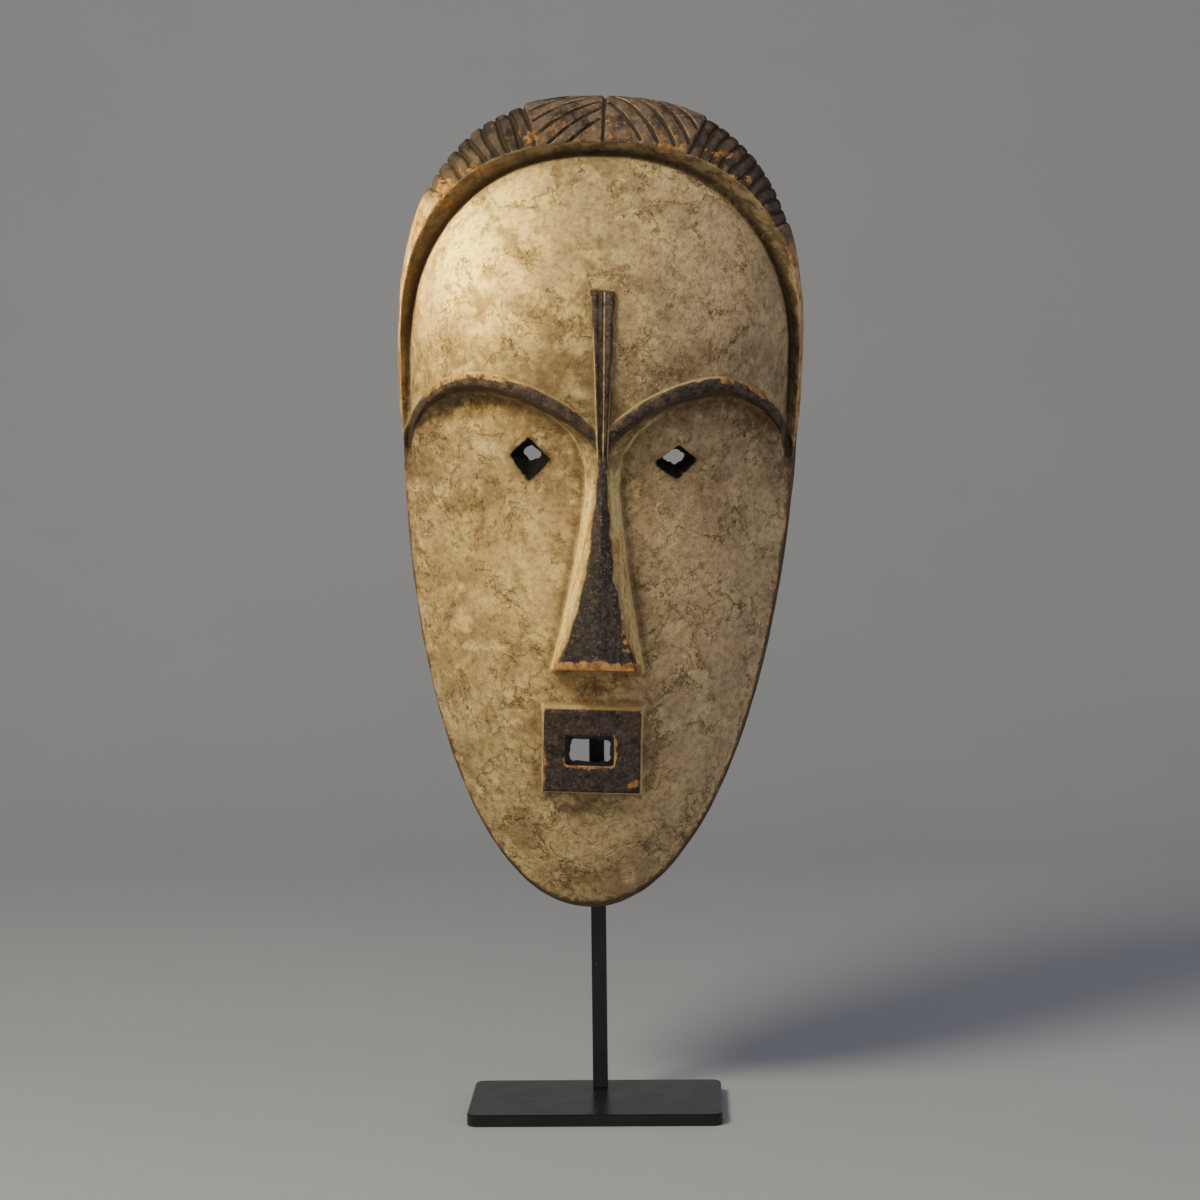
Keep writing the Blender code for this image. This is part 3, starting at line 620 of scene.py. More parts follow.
def mouth_opening():
    """A tunnel that runs straight back and narrows to a chipped edge behind the frame."""
    surface = face_depth_at(MOUTH_X, MOUTH_HEIGHT)
    chips = np.random.default_rng(12)
    rings = []
    for size, back, drop, chip in ((MOUTH_HOLE, -0.016, 0.0, 0.0), (MOUTH_HOLE, 0.004, 0.0, 0.0),
                                   (MOUTH_HOLE_BACK, 0.022, 0.0008, MOUTH_HOLE_CHIPS),
                                   (MOUTH_HOLE_BACK, 0.06, 0.0026, MOUTH_HOLE_CHIPS)):
        across, rise = rectangle_points(size)
        across = across + MOUTH_X + MOUTH_HOLE_SHIFT + chip * chips.uniform(-1.0, 1.0, len(across))
        rise = rise + chip * chips.uniform(-1.0, 1.0, len(rise))
        height = MOUTH_HEIGHT - MOUTH_PROUD * math.sin(MOUTH_TILT) + rise - drop
        depth = surface + MOUTH_PROUD + rise * math.sin(MOUTH_TILT) - back
        rings.append(in_frame(across, height, depth))
    return closed_loft("mouth_opening", rings)


def eye_ring(eye, back):
    """Middle and corner distances (left, down, right, up) of an eye's tunnel, at 0 in front to 1 behind."""
    x, height, corners, shift = eye
    narrow = min(max(back, 0.0), 1.0)
    ends = (0.5 * EYE_BACK[0], 0.5 * EYE_BACK[1]) * 2
    return x + shift[0] * back, height + shift[1] * back, [mix(*pair, narrow) for pair in zip(corners, ends)]


def eye_opening(eye):
    surface = face_depth_at(eye[0], eye[1])
    rings = []
    for back in (-0.35, 0.0, 1.0, 1.6):
        x, height, (left, down, right, up) = eye_ring(eye, back)
        depth = surface + 0.1 * EYE_LENGTH - EYE_LENGTH * back
        across, rise = np.array((-left, 0.0, right, 0.0)), np.array((0.0, -down, 0.0, up))
        rings.append(in_frame(x + across, height + rise, depth))
    return closed_loft("eye_opening", rings)


def back_trim():
    corners = ((-0.2, -0.1), (0.2, -0.1), (0.2, 0.7), (-0.2, 0.7))
    x, height = np.array(corners).T
    return closed_loft("back_trim", [in_frame(x, height, depth) for depth in (0.0, -0.05)])


def apply_modifiers(made):
    """Bakes an object's modifiers into its mesh."""
    seen = made.evaluated_get(bpy.context.evaluated_depsgraph_get())
    mesh = bpy.data.meshes.new_from_object(seen)
    made.modifiers.clear()
    old = made.data
    made.data = mesh
    bpy.data.meshes.remove(old)


def cut_with(target, tool, operation):
    modifier = target.modifiers.new(tool.name, "BOOLEAN")
    modifier.operation = operation
    modifier.object = tool
    modifier.solver = "MANIFOLD"


def vertex_array(mesh, what="co"):
    values = np.empty(len(mesh.vertices) * 3, np.float32)
    mesh.vertices.foreach_get(what, values)
    return values.reshape(-1, 3).astype(float)


def value_noise(points, size, seed):
    """Smooth random numbers from -1 to 1 over space, with features of about this size."""
    lattice = np.random.default_rng(seed).uniform(-1.0, 1.0, (48, 48, 48))
    place = points / size
    whole = np.floor(place).astype(int)
    part = ease(place - whole)
    total = np.zeros(len(points))
    for corner in np.ndindex(2, 2, 2):
        weight = np.prod(np.where(np.array(corner, bool), part, 1.0 - part), axis=1)
        index = (whole + np.array(corner)) % 48
        total += weight * lattice[index[:, 0], index[:, 1], index[:, 2]]
    return total


def on_band(x, height, depth):
    """Angle, share of the way over the hair band from its inner edge, and distance past that edge."""
    angle, radius, inner, outer = band_place(x, height)
    front = band_depth(WIDEST_HEIGHT + inner * np.sin(angle))
    shoulder = BAND_SHOULDER * front
    across = (radius - inner) / (outer - inner)
    forward = (depth - shoulder) / (front - shoulder)
    share = np.where(forward > 0.0, np.arctan2(across, forward) / (0.5 * np.pi), 1.0 - forward * 0.55)
    return angle, share, radius - inner


def segment_distance(u, v, start, end):
    run, rise = end[0] - start[0], end[1] - start[1]
    length = run * run + rise * rise
    along = np.clip(((u - start[0]) * run + (v - start[1]) * rise) / length, 0.0, 1.0)
    return np.hypot(u - start[0] - along * run, v - start[1] - along * rise)


def angle_over(x):
    return math.atan2(0.5 * (CROWN_RISE + BAND_SIZE[1]), x)


def stroke_lines():
    """Ends of the crown's V cuts, as (angle, share) pairs."""
    parting = angle_over(PARTING_X)
    lines = [((parting, -0.1), (parting, 1.8))]
    for index in range(STROKES_EACH_SIDE):
        lines.append(((LEFT_STROKE_FOOT, -0.26 + 0.2 * index), (parting + 0.02, 0.285 + 0.155 * index)))
        foot = RIGHT_STROKE_FOOT - RIGHT_STROKE_PITCH * index
        low = max(foot, RIGHT_STROKE_LIMIT)
        high = min(foot + 1.25 / RIGHT_STROKE_SLOPE, parting - 0.02)
        lines.append(tuple((angle, 0.05 + RIGHT_STROKE_SLOPE * (angle - foot)) for angle in (low, high)))
    return lines


def band_cuts(x, height, depth):
    """How deep the combed grooves and the V cuts are at each place."""
    angle, share, inside = on_band(x, height, depth)
    cut = np.zeros(x.shape)
    present = ease((inside + 0.001) / 0.0015) * (depth > 0.012)
    fade = 1.0 - ease((share - 1.15) / 0.75)
    for start, end, count, ridge_depth in (LEFT_RIDGES, RIGHT_RIDGES):
        place = (angle - start) / (end - start) * count
        wander = 0.1 * np.sin(7.0 * share + 5.0 * np.floor(place + 0.5))
        away = np.abs(place + wander - np.floor(place + wander + 0.5))
        groove = bell(away, 0.13) + 0.1 * (2.0 * away - 1.0) ** 2
        zone = ease((place + 0.3) / 0.3) * ease((count + 0.3 - place) / 0.3)
        cut += (ridge_depth * groove + BLOCK_STEP) * zone * fade * present
    arc = 0.15
    over = 0.066
    for start, end in stroke_lines():
        apart = segment_distance(angle * arc, share * over, (start[0] * arc, start[1] * over),
                                 (end[0] * arc, end[1] * over))
        groove = np.clip(1.0 - apart / STROKE_HALF_WIDTH, 0.0, 1.0)
        cut = np.maximum(cut, STROKE_DEPTH * groove * present)
    return cut


def carve_details(made):
    """Combed ridges, cuts, tool marks and small damage, all pressed inwards from the carved form."""
    mesh = made.data
    points = vertex_array(mesh)
    normals = vertex_array(mesh, "normal")
    x, depth, height = points[:, 0], -points[:, 1], points[:, 2]
    cut = band_cuts(x, height, depth)
    behind = behind_share(x, height, depth, 0.0025) * (depth > 0.0005)
    adze = np.abs(value_noise(points * np.array((1.0, 1.0, 0.45)), 0.011, 3))
    adze += 0.4 * np.abs(value_noise(points, 0.006, 4))
    cut += 0.0011 * adze * behind
    cut += 0.00028 * (1.35 + value_noise(points, 0.013, 5)) + 0.0001 * (1.0 + value_noise(points, 0.0045, 6))
    points -= normals * cut[:, None]
    mesh.vertices.foreach_set("co", points.astype(np.float32).ravel())
    mesh.update()


def build_mask():
    mask = front_block()
    tools = [(outline_solid(), "INTERSECT"), (hollow_solid(), "DIFFERENCE"), (mouth_opening(), "DIFFERENCE")]
    tools += [(eye_opening(eye), "DIFFERENCE") for eye in EYES]
    tools.append((back_trim(), "DIFFERENCE"))
    for tool, operation in tools:
        cut_with(mask, tool, operation)
    apply_modifiers(mask)
    for tool, operation in tools:
        bpy.data.objects.remove(tool, do_unlink=True)
    remesh = mask.modifiers.new("even", "REMESH")
    remesh.mode = "VOXEL"
    remesh.voxel_size = VOXEL
    apply_modifiers(mask)
    carve_details(mask)
    triangles = sum(len(face.vertices) - 2 for face in mask.data.polygons)
    thin = mask.modifiers.new("thin", "DECIMATE")
    thin.ratio = min(1.0, MOST_TRIANGLES / triangles)
    apply_modifiers(mask)
    mask.data.shade_smooth()
    return mask


def strongest(x, height, spots):
    """The most that any of the soft spots reaches at each place."""
    share = np.zeros(x.shape)
    for middle_x, middle_height, reach_x, reach_height, strength in spots:
        spot = strength * bell(x - middle_x, reach_x) * bell(height - middle_height, reach_height)
        share = np.maximum(share, spot)
    return share


def hole_share(x, height, depth):
    """1 on the walls of the eye and mouth openings, which are painted near-black: dark stain plus painted
    shade inside the holes.
    """
    surface = face_depth(x, height)
    share = np.zeros(x.shape)
    for eye in EYES:
        start = face_depth_at(eye[0], eye[1]) + 0.1 * EYE_LENGTH
        back = np.clip((start - depth) / EYE_LENGTH, 0.0, 2.0)
        sideways, up = x - eye[0] - eye[3][0] * back, height - eye[1] - eye[3][1] * back
        narrow = np.minimum(back, 1.0)
        soot_and_shade = EYE_SOOT_AND_SHADE * (0.25 + narrow)
        left, right = (mix(eye[2][side], 0.5 * EYE_BACK[0], narrow) + soot_and_shade for side in (0, 2))
        down, top = (mix(eye[2][side], 0.5 * EYE_BACK[1], narrow) + soot_and_shade for side in (1, 3))
        reach = np.abs(sideways) / np.where(sideways < 0.0, left, right)
        reach += np.abs(up) / np.where(up < 0.0, down, top)
        below_face = ease((surface - 0.0003 - depth) / 0.0007)
        share = np.maximum(share, below_face * ease((1.2 - reach) / 0.1))
    across, rise, plane = mouth_place(x, height)
    within = np.abs(across - MOUTH_HOLE_SHIFT) < 0.5 * MOUTH_HOLE[0] + 0.0008
    within &= np.abs(rise) < 0.5 * MOUTH_HOLE[1] + 0.003
    return np.maximum(share, within * ease((plane - 0.0016 - depth) / 0.0014))


def stained_inset(x, height, above, along):
    """How far inside the dark stain on brows, bar, nose and mouth a place is, in millimetres."""
    width = brow_width(along)
    brow = width * 1.05 - np.abs(above + 0.22 * width)
    place, half = bar_place(x, height)
    brow = np.minimum(brow, height - 0.3025 + 0.01 * (np.abs(x) < 0.06))
    bar = np.minimum((1.05 - np.abs(place)) * half, np.minimum(BAR_TOP - height, height - BAR_BOTTOM + 0.008))
    aside = np.abs(x - midline(height))
    nose = np.interp(height, NOSE_STAIN_HEIGHTS, NOSE_STAIN_WIDTHS) - aside
    nose = np.minimum(nose, np.minimum(height - NOSE_BOTTOM - 0.001, NOSE_ROOT + 0.006 - height))
    mouth, _ = mouth_inset(x, height)
    inset = np.maximum(np.maximum(brow, bar), np.maximum(nose, mouth))
    return in_mm(inset, 0.02)


def line_fields(x, height, above, width, place, half, aside, mouth):
    """Signed distances in millimetres from the thin pale lines, which are partly painted edge highlights, and
    how strongly each line shows.
    """
    bar = np.full(x.shape, 9.0)
    for index, middle in enumerate((-0.97, BAR_GROOVES[1], 0.93)):
        away = (place - middle) * half * (1.0 if index % 2 else -1.0)
        bar = np.where(np.abs(away) < np.abs(bar), away, bar)
    bar_shown = ease((height - BAR_BOTTOM + 0.004) / 0.006) * ease((BAR_TOP - height) / 0.002)
    # Painted highlight: the bar's left edge, on the lit side, gets a stronger line than its right edge
    bar_shown *= np.where(place > 0.5, 0.6 * ease((0.35 - height) / 0.03), 1.0)
    bar_shown *= np.where(place < -0.5, ease((0.384 - height) / 0.02), 1.0)
    brow_shown = np.where(x > 0.0, ease((0.098 - x) / 0.04), 0.45)
    return {
        "bar_line": in_mm(bar),
        "bar_line_shown": bar_shown * (np.abs(place) < 1.4),
        "brow_line": in_mm(above - 1.1 * width),
        "brow_line_shown": brow_shown * ease((aside - 0.003) / 0.003),
        "nose_line": in_mm(aside - nose_foot(height) + 0.0012),
        "nose_line_shown": ease((height - NOSE_BOTTOM) / 0.01) * ease((0.326 - height) / 0.01),
        "mouth_line": in_mm(mouth + 0.0004) * np.where(height > MOUTH_HEIGHT + 0.022, 0.4, 1.0),
    }


def worn_share(x, height, depth, above, width, aside, plane):
    """Where the stain is rubbed through to orange-brown wood."""
    worn = strongest(x, height, WORN_SPOTS)
    for start, end, strength in WORN_BROWS:
        share = ease((above + 0.2 * width) / (0.6 * width)) * ease((1.2 * width - above) / 0.0008)
        share *= ease((x - start) / 0.01) * ease((end - x) / 0.01)
        worn = np.maximum(worn, strength * share)
    nose_end = ease((0.0105 - (height - NOSE_BOTTOM)) / 0.006) * (height > NOSE_BOTTOM - 0.0006)
    worn = np.maximum(worn, nose_end * (aside < nose_foot(height) - 0.001) * (depth > 0.1))
    across, rise, _ = mouth_place(x, height)
    sideways = np.maximum(np.abs(across - MOUTH_HOLE_SHIFT) - 0.5 * MOUTH_HOLE[0], 0.0)
    upwards = np.maximum(np.abs(rise) - 0.5 * MOUTH_HOLE[1], 0.0)
    lip = bell(np.hypot(sideways, upwards), 0.0028)
    lip *= (rise < -0.3 * MOUTH_HOLE[1]) | (across - MOUTH_HOLE_SHIFT > 0.47 * MOUTH_HOLE[0])
    return np.maximum(worn, 0.9 * lip * (np.abs(plane - depth) < 0.0035))


def grime_and_shade_share(x, height, above, aside, mouth):
    # Grime mixed with painted shade: the smudges just above the brows are grime, while the darkening under
    # the brows, along the nose's foot and round the mouth frame's foot is painted shade
    grime_and_shade = strongest(x, height, GRIME_AND_SHADE_SPOTS)
    grime_and_shade = np.maximum(grime_and_shade, 0.75 * bell(above - 0.0105, 0.0035))
    grime_and_shade = np.maximum(grime_and_shade, 0.55 * bell(above - 0.018, 0.014))
    grime_and_shade = np.maximum(grime_and_shade, 0.85 * ease((0.044 + above) / 0.036) * (above < 0.0))
    by_nose = bell(aside - nose_foot(height) - 0.0026, 0.002) * (height > NOSE_BOTTOM) * (height < 0.29)
    return np.maximum(grime_and_shade, 0.8 * np.maximum(by_nose, bell(mouth + 0.0052, 0.0018)))


def surface_fields(made):
    """Where each look belongs, as numbers on the mesh's points."""
    mesh = made.data
    points = vertex_array(mesh)
    x, depth, height = points[:, 0], -points[:, 1], points[:, 2]
    angle, radius, inner, outer = band_place(x, height)
    groove = ray_length(angle, GROOVE_SIZE, GROOVE_POWER)
    above, along = brow_distance(x, height)
    width = brow_width(along)
    place, half = bar_place(x, height)
    aside = np.abs(x - midline(height))
    mouth, mouth_plane = mouth_inset(x, height)
    front = carved_front(x, height)
    _, share, _ = on_band(x, height, depth)
    on_side = ease((front - 0.0022 - depth) / 0.002) * (radius > outer - 0.012)
    on_flank = ease((aside - ridge_width(height) - 0.001) / 0.003)
    on_flank *= ease((nose_foot(height) - aside) / 0.002)
    on_flank *= (height > NOSE_BOTTOM) * ease((0.31 - height) / 0.02)

    hair_pale = np.maximum(ease((math.radians(33.0) - angle) / 0.1),
                           ease((angle - math.radians(138.0)) / 0.06))
    hair_pale = np.where(angle < -0.5 * np.pi, 1.0, hair_pale) * (1.0 - ease((share - 0.75) / 0.35))
    groove_seen = groove_share(x, height) * (height > 0.3)
    uneven = value_noise(points * np.array((1.0, 1.0, 0.5)), 0.005, 7) * np.where(height > 0.145, 0.9, 0.35)
    fields = {
        "stained": stained_inset(x, height, above, along) + uneven,
        "scuffed": np.maximum(ease((height - 0.285) / 0.02), 0.35 * (mouth > -0.001)),
        "hair": in_mm(np.minimum(radius - inner, height - 0.312), 0.02),
        "hair_share": np.clip(share, 0.0, 2.0),
        "hair_pale": hair_pale,
        "hair_cut": np.clip(band_cuts(x, height, depth) / LEFT_RIDGES[3], 0.0, 1.0),
        "recess": ease((radius - groove + 0.0012) / 0.0016) * groove_seen * (radius < inner + 0.0005),
        # Painted shadow, with some dirt, along the deep groove round the forehead
        "recess_painted_shadow_line": bell(radius - groove, 0.0022) * groove_seen,
        "edge": in_mm(outer - radius - EDGE_INSET, 0.02),
        "side": on_side,
        "low_part": 1.0 - ease((height - 0.305) / 0.012),
        "behind": behind_share(x, height, depth, 0.0025),
        "opening": hole_share(x, height, depth),
        # Painted shade on the left part of the band's inner wall
        "recess_painted_shade_left": ease((-0.01 - x) / 0.06),
        "worn": worn_share(x, height, depth, above, width, aside, mouth_plane),
        "grime_and_shade": grime_and_shade_share(x, height, above, aside, mouth),
        "bright": strongest(x, height, WHITE_DAB_AND_PAINTED_LIGHT_SPOTS),
        "flank": on_flank,
        # Greyer towards the right: partly the wash's own greyer tone, partly painted shade on the side away
        # from the lamp
        "grey_and_shaded_side": ease((x + 0.01) / 0.09) * (1.0 - ease((height - 0.48) / 0.04)),
    }
    fields.update(line_fields(x, height, above, width, place, half, aside, mouth))
    for name, values in fields.items():
        made_field = mesh.attributes.new(name, "FLOAT", "POINT")
        made_field.data.foreach_set("value", np.asarray(values, np.float32))
    raised = edge_wear(mesh, points)
    mesh.attributes.new("raised", "FLOAT", "POINT").data.foreach_set("value", raised)


def edge_wear(mesh, points):
    """How strongly each point stands out from its neighbours: above 0 on edges, below 0 in hollows."""
    pairs = np.empty(len(mesh.edges) * 2, np.int32)
    mesh.edges.foreach_get("vertices", pairs)
    pairs = pairs.reshape(-1, 2)
    normals = vertex_array(mesh, "normal")
    count = np.bincount(pairs.ravel(), minlength=len(points)).astype(float)

    def around(values):
        total = np.zeros(values.shape)
        np.add.at(total, pairs[:, 0], values[pairs[:, 1]])
        np.add.at(total, pairs[:, 1], values[pairs[:, 0]])
        return total / count.reshape(-1, *([1] * (values.ndim - 1)))

    smooth = points
    for _ in range(3):
        smooth = around(smooth)
    standing = np.einsum("ij,ij->i", points - smooth, normals)
    for _ in range(2):
        standing = 0.5 * standing + 0.5 * around(standing)
    return np.clip(standing / 0.0006, -1.0, 1.0).astype(np.float32)


class Shader:
    """Short ways to add linked nodes to one material."""

    def __init__(self, name):
        self.material = bpy.data.materials.new(name)
        self.material.use_nodes = True
        self.tree = self.material.node_tree
        self.surface = self.tree.nodes["Principled BSDF"]
        self.coordinates = self.add("ShaderNodeTexCoord").outputs["Object"]

    def add(self, kind, **settings):
        node = self.tree.nodes.new(kind)
        for name, value in settings.items():
            setattr(node, name, value)
        return node

    def put(self, socket, value):
        """Links an output into a socket, or sets a plain number or colour on it."""
        if isinstance(value, bpy.types.NodeSocket):
            self.tree.links.new(value, socket)
        elif isinstance(value, tuple) and socket.type == "RGBA":
            socket.default_value = (*value, 1.0)
        else:
            socket.default_value = value

    def field(self, name):
        return self.add("ShaderNodeAttribute", attribute_name=name).outputs["Fac"]

    def math(self, operation, first, second=0.0, clamp=False):
        node = self.add("ShaderNodeMath", operation=operation, use_clamp=clamp)
        self.put(node.inputs[0], first)
        self.put(node.inputs[1], second)
        return node.outputs[0]

    def times(self, first, second):
        return self.math("MULTIPLY", first, second)

    def plus(self, first, second):
        return self.math("ADD", first, second)

    def smooth(self, value, low, high, top=1.0):
        """0 at low and top at high, with a soft change between them."""
        node = self.add("ShaderNodeMapRange", interpolation_type="SMOOTHSTEP")
        for name, setting in (("Value", value), ("From Min", low), ("From Max", high), ("To Max", top)):
            self.put(node.inputs[name], setting)
        return node.outputs["Result"]

    def stretched(self, scale):
        node = self.add("ShaderNodeMapping")
        self.put(node.inputs["Vector"], self.coordinates)
        node.inputs["Scale"].default_value = scale
        return node.outputs["Vector"]

    def noise(self, scale, detail=3.0, roughness=0.55, distortion=0.0, vector=None):
        node = self.add("ShaderNodeTexNoise")
        self.put(node.inputs["Vector"], vector or self.coordinates)
        for name, value in (("Scale", scale), ("Detail", detail), ("Roughness", roughness),
                            ("Distortion", distortion)):
            node.inputs[name].default_value = value
        return node.outputs["Fac"]

    def cloud(self, noise, low, high, top=1.0):
        """Soft patches: a noise pushed to 0 below low and to top above high."""
        return self.smooth(self.noise(*noise), low, high, top)

    def swing(self, amount, *noise):
        """A noise that swings about zero."""
        return self.times(self.math("SUBTRACT", self.noise(*noise), 0.5), amount)

    def tint(self, colour, name, strength, other):
        """Mixes another colour in where one of the mask's fields is high."""
        return self.mix(self.times(self.field(name), strength), colour, other)

    def specks(self, scale, size, share):
        """Small round dots in a share of the cells of a random grid."""
        node = self.add("ShaderNodeTexVoronoi")
        self.put(node.inputs["Vector"], self.coordinates)
        node.inputs["Scale"].default_value = scale
        near = self.smooth(node.outputs["Distance"], size, 0.4 * size)
        chosen = self.add("ShaderNodeSeparateColor")
        self.put(chosen.inputs[0], node.outputs["Color"])
        return self.times(near, self.math("LESS_THAN", chosen.outputs[0], share))

    def mix(self, share, first, second, blend="MIX"):
        node = self.add("ShaderNodeMix", data_type="RGBA", blend_type=blend)
        self.put(node.inputs[0], share)
        self.put(node.inputs[6], first)
        self.put(node.inputs[7], second)
        return node.outputs[2]

    def bump(self, height, distance, after=None):
        node = self.add("ShaderNodeBump")
        self.put(node.inputs["Height"], height)
        node.inputs["Distance"].default_value = distance
        if after is not None:
            self.put(node.inputs["Normal"], after)
        return node.outputs["Normal"]

    def finish(self, **inputs):
        for name, value in inputs.items():
            self.put(self.surface.inputs[name.replace("_", " ").title()], value)
        return self.material


def tide_marks(look, colour, field, level, width, halo_width, strength):
    """Thin brown lines along one level of a noise, browner on one side, as dried puddles leave."""
    above = look.math("SUBTRACT", field, level)
    line = look.smooth(look.math("ABSOLUTE", above), width, 0.15 * width)
    halo = look.times(look.smooth(above, halo_width, 0.0), look.smooth(above, -width, 0.0))
    colour = look.mix(look.times(look.times(halo, 0.65), strength), colour, TIDE_HALO)
    return look.mix(look.times(line, strength), colour, TIDE_LINE)


def kaolin(look):
    """A clay wash gone cream: soft blotches, dried tide marks, pale dabs and fine dark specks, with painted
    light whitening the upper left of the forehead, painted shade greying the right side, grime mixed with
    painted shade, and a painted highlight on the nose's sides.
    """
    colour = look.mix(look.cloud((26.0, 4.0, 0.6), 0.38, 0.6), KAOLIN_DARK, KAOLIN)
    colour = look.mix(look.cloud((62.0, 4.0, 0.6), 0.49, 0.62, 0.85), colour, KAOLIN_PALE)
    colour = look.mix(look.cloud((95.0, 5.0, 0.65), 0.49, 0.35, 0.7), colour, KAOLIN_DARK)
    # Whiter dabs on the upper left of the forehead: partly the wash's own white, partly painted light
    bright = look.field("bright")
    dabs = look.plus(look.noise(84.0, 5.0, 0.62), look.times(bright, 0.22))
    colour = look.mix(look.times(look.smooth(dabs, 0.54, 0.68), bright), colour, KAOLIN_WHITE)
    # Painted shade mixed with a greyer wash towards the right side
    colour = look.tint(colour, "grey_and_shaded_side", 0.55, KAOLIN_GREY_AND_SHADE)
    patches = look.cloud((31.0, 3.0, 0.6), 0.4, 0.56)
    few = look.smooth(look.noise(24.0, 3.0, 0.6, 0.0, look.stretched((1.0, 1.0, 1.4))), 0.44, 0.6)
    wide_field = look.noise(27.0, 7.0, 0.6, 0.25)
    small_field = look.noise(64.0, 5.0, 0.58, 0.2)
    colour = tide_marks(look, colour, wide_field, 0.5, 0.0075, 0.055, look.times(patches, 0.85))
    colour = tide_marks(look, colour, wide_field, 0.58, 0.0065, 0.045, look.times(few, 0.75))
    colour = tide_marks(look, colour, small_field, 0.585, 0.012, 0.075, look.times(few, 0.85))
    # The nose's sides: a pale wash, pushed brighter and more orange than the wash elsewhere as a painted
    # highlight where they catch the lamps
    streaks = look.noise(90.0, 5.0, 0.7, 0.3, look.stretched((1.6, 1.6, 0.6)))
    flank_pale_and_highlight = look.mix(look.smooth(streaks, 0.36, 0.52), FLANK_DARK, FLANK_PALE_AND_HIGHLIGHT)
    colour = look.tint(colour, "flank", 0.9, flank_pale_and_highlight)
    # Grime and painted shade darken the wash where that field is high
    grime_and_shade = look.times(look.field("grime_and_shade"),
                        look.cloud((110.0, 5.0, 0.65), 0.3, 0.6))
    colour = look.mix(look.times(grime_and_shade, 0.85), colour, GRIME_AND_PAINTED_SHADE)
    colour = look.mix(look.cloud((260.0, 5.0, 0.7), 0.44, 0.64, 0.75), colour, MOTTLE, "MULTIPLY")
    colour = look.mix(look.cloud((620.0, 3.0, 0.7), 0.54, 0.7, 0.45), colour, TIDE_HALO)
    return look.mix(look.times(look.specks(330.0, 0.17, 0.16), 0.6), colour, TIDE_LINE)


def dark_stain(look):
    """Brown-black stain, browner and more scuffed on the brows, with small pale chips."""
    scuffed = look.field("scuffed")
    scuffs = look.cloud((330.0, 5.0, 0.72, 0.4), 0.38, 0.74)
    colour = look.mix(scuffs, STAIN, STAIN_SCUFFED)
    brown = look.times(look.cloud((120.0, 5.0, 0.68), 0.38, 0.7, 0.85), scuffed)
    colour = look.mix(brown, colour, STAIN_BROWN)
    rubbed = look.plus(look.noise(420.0, 4.0, 0.7), look.times(look.field("raised"), 0.1))
    colour = look.mix(look.smooth(rubbed, 0.6, 0.7, 0.7), colour, STAIN_WORN)
    return look.mix(look.times(look.specks(620.0, 0.26, 0.22), 0.6), colour, CHIP)


def worn_wood(look):
    grain = look.noise(120.0, 5.0, 0.65, 0.3, look.stretched((1.6, 1.6, 1.0)))
    return look.mix(look.smooth(grain, 0.36, 0.6), WORN_DARK, WORN_LIGHT)


def bare_wood(look):
    """Plain carved wood inside, behind and down the sides, browned by handling."""
    grain = look.noise(60.0, 5.0, 0.6, 0.8, look.stretched((7.0, 7.0, 0.8)))
    colour = look.mix(look.smooth(grain, 0.35, 0.65), WOOD_DARK, WOOD)
    return look.mix(look.cloud((14.0, 4.0, 0.6), 0.35, 0.65, 0.6), colour, WOOD_DARK)


def hair(look, worn):
    """The combed band: grey-brown with near-black cuts, and bare orange wood where it is rubbed."""
    colour = look.mix(look.cloud((70.0, 5.0, 0.6), 0.35, 0.65), HAIR_DARK, HAIR)
    colour = look.mix(look.cloud((115.0, 4.0, 0.65), 0.46, 0.64, 0.7), colour, HAIR_GREY)
    rubbed = look.plus(look.noise(250.0, 5.0, 0.7), look.times(look.field("raised"), 0.12))
    low = look.smooth(look.field("hair_share"), 0.35, 0.0, 0.08)
    colour = look.mix(look.smooth(look.plus(rubbed, low), 0.61, 0.77, 0.72), colour, worn)
    pale = look.mix(look.cloud((100.0, 4.0, 0.6), 0.4, 0.6), worn, KAOLIN)
    colour = look.mix(look.field("hair_pale"), colour, pale)
    cut = look.field("hair_cut")
    lip = look.times(look.smooth(cut, 0.04, 0.16), look.smooth(cut, 0.42, 0.26))
    lip = look.times(lip, look.cloud((85.0, 4.0, 0.65), 0.46, 0.6, 0.55))
    colour = look.mix(lip, colour, KAOLIN)
    return look.mix(look.smooth(cut, 0.25, 0.75, 0.85), colour, CUT_BLACK_AND_SHADOW)


def pale_and_highlight_lines(look, colour):
    """Thin cream lines where edges were rubbed or the wash was left in a groove, and painted highlights along
    the lit edges of the bar, brows, nose and mouth frame.
    """
    broken = look.cloud((150.0, 4.0, 0.6), 0.3, 0.48)
    for name, half_width, strength in PALE_AND_HIGHLIGHT_LINES:
        away = look.math("ABSOLUTE", look.field(name))
        line = look.times(look.smooth(away, half_width, 0.4 * half_width, strength), broken)
        if name != "mouth_line":
            line = look.times(line, look.field(name + "_shown"))
        colour = look.mix(line, colour, KAOLIN_PALE)
    return colour


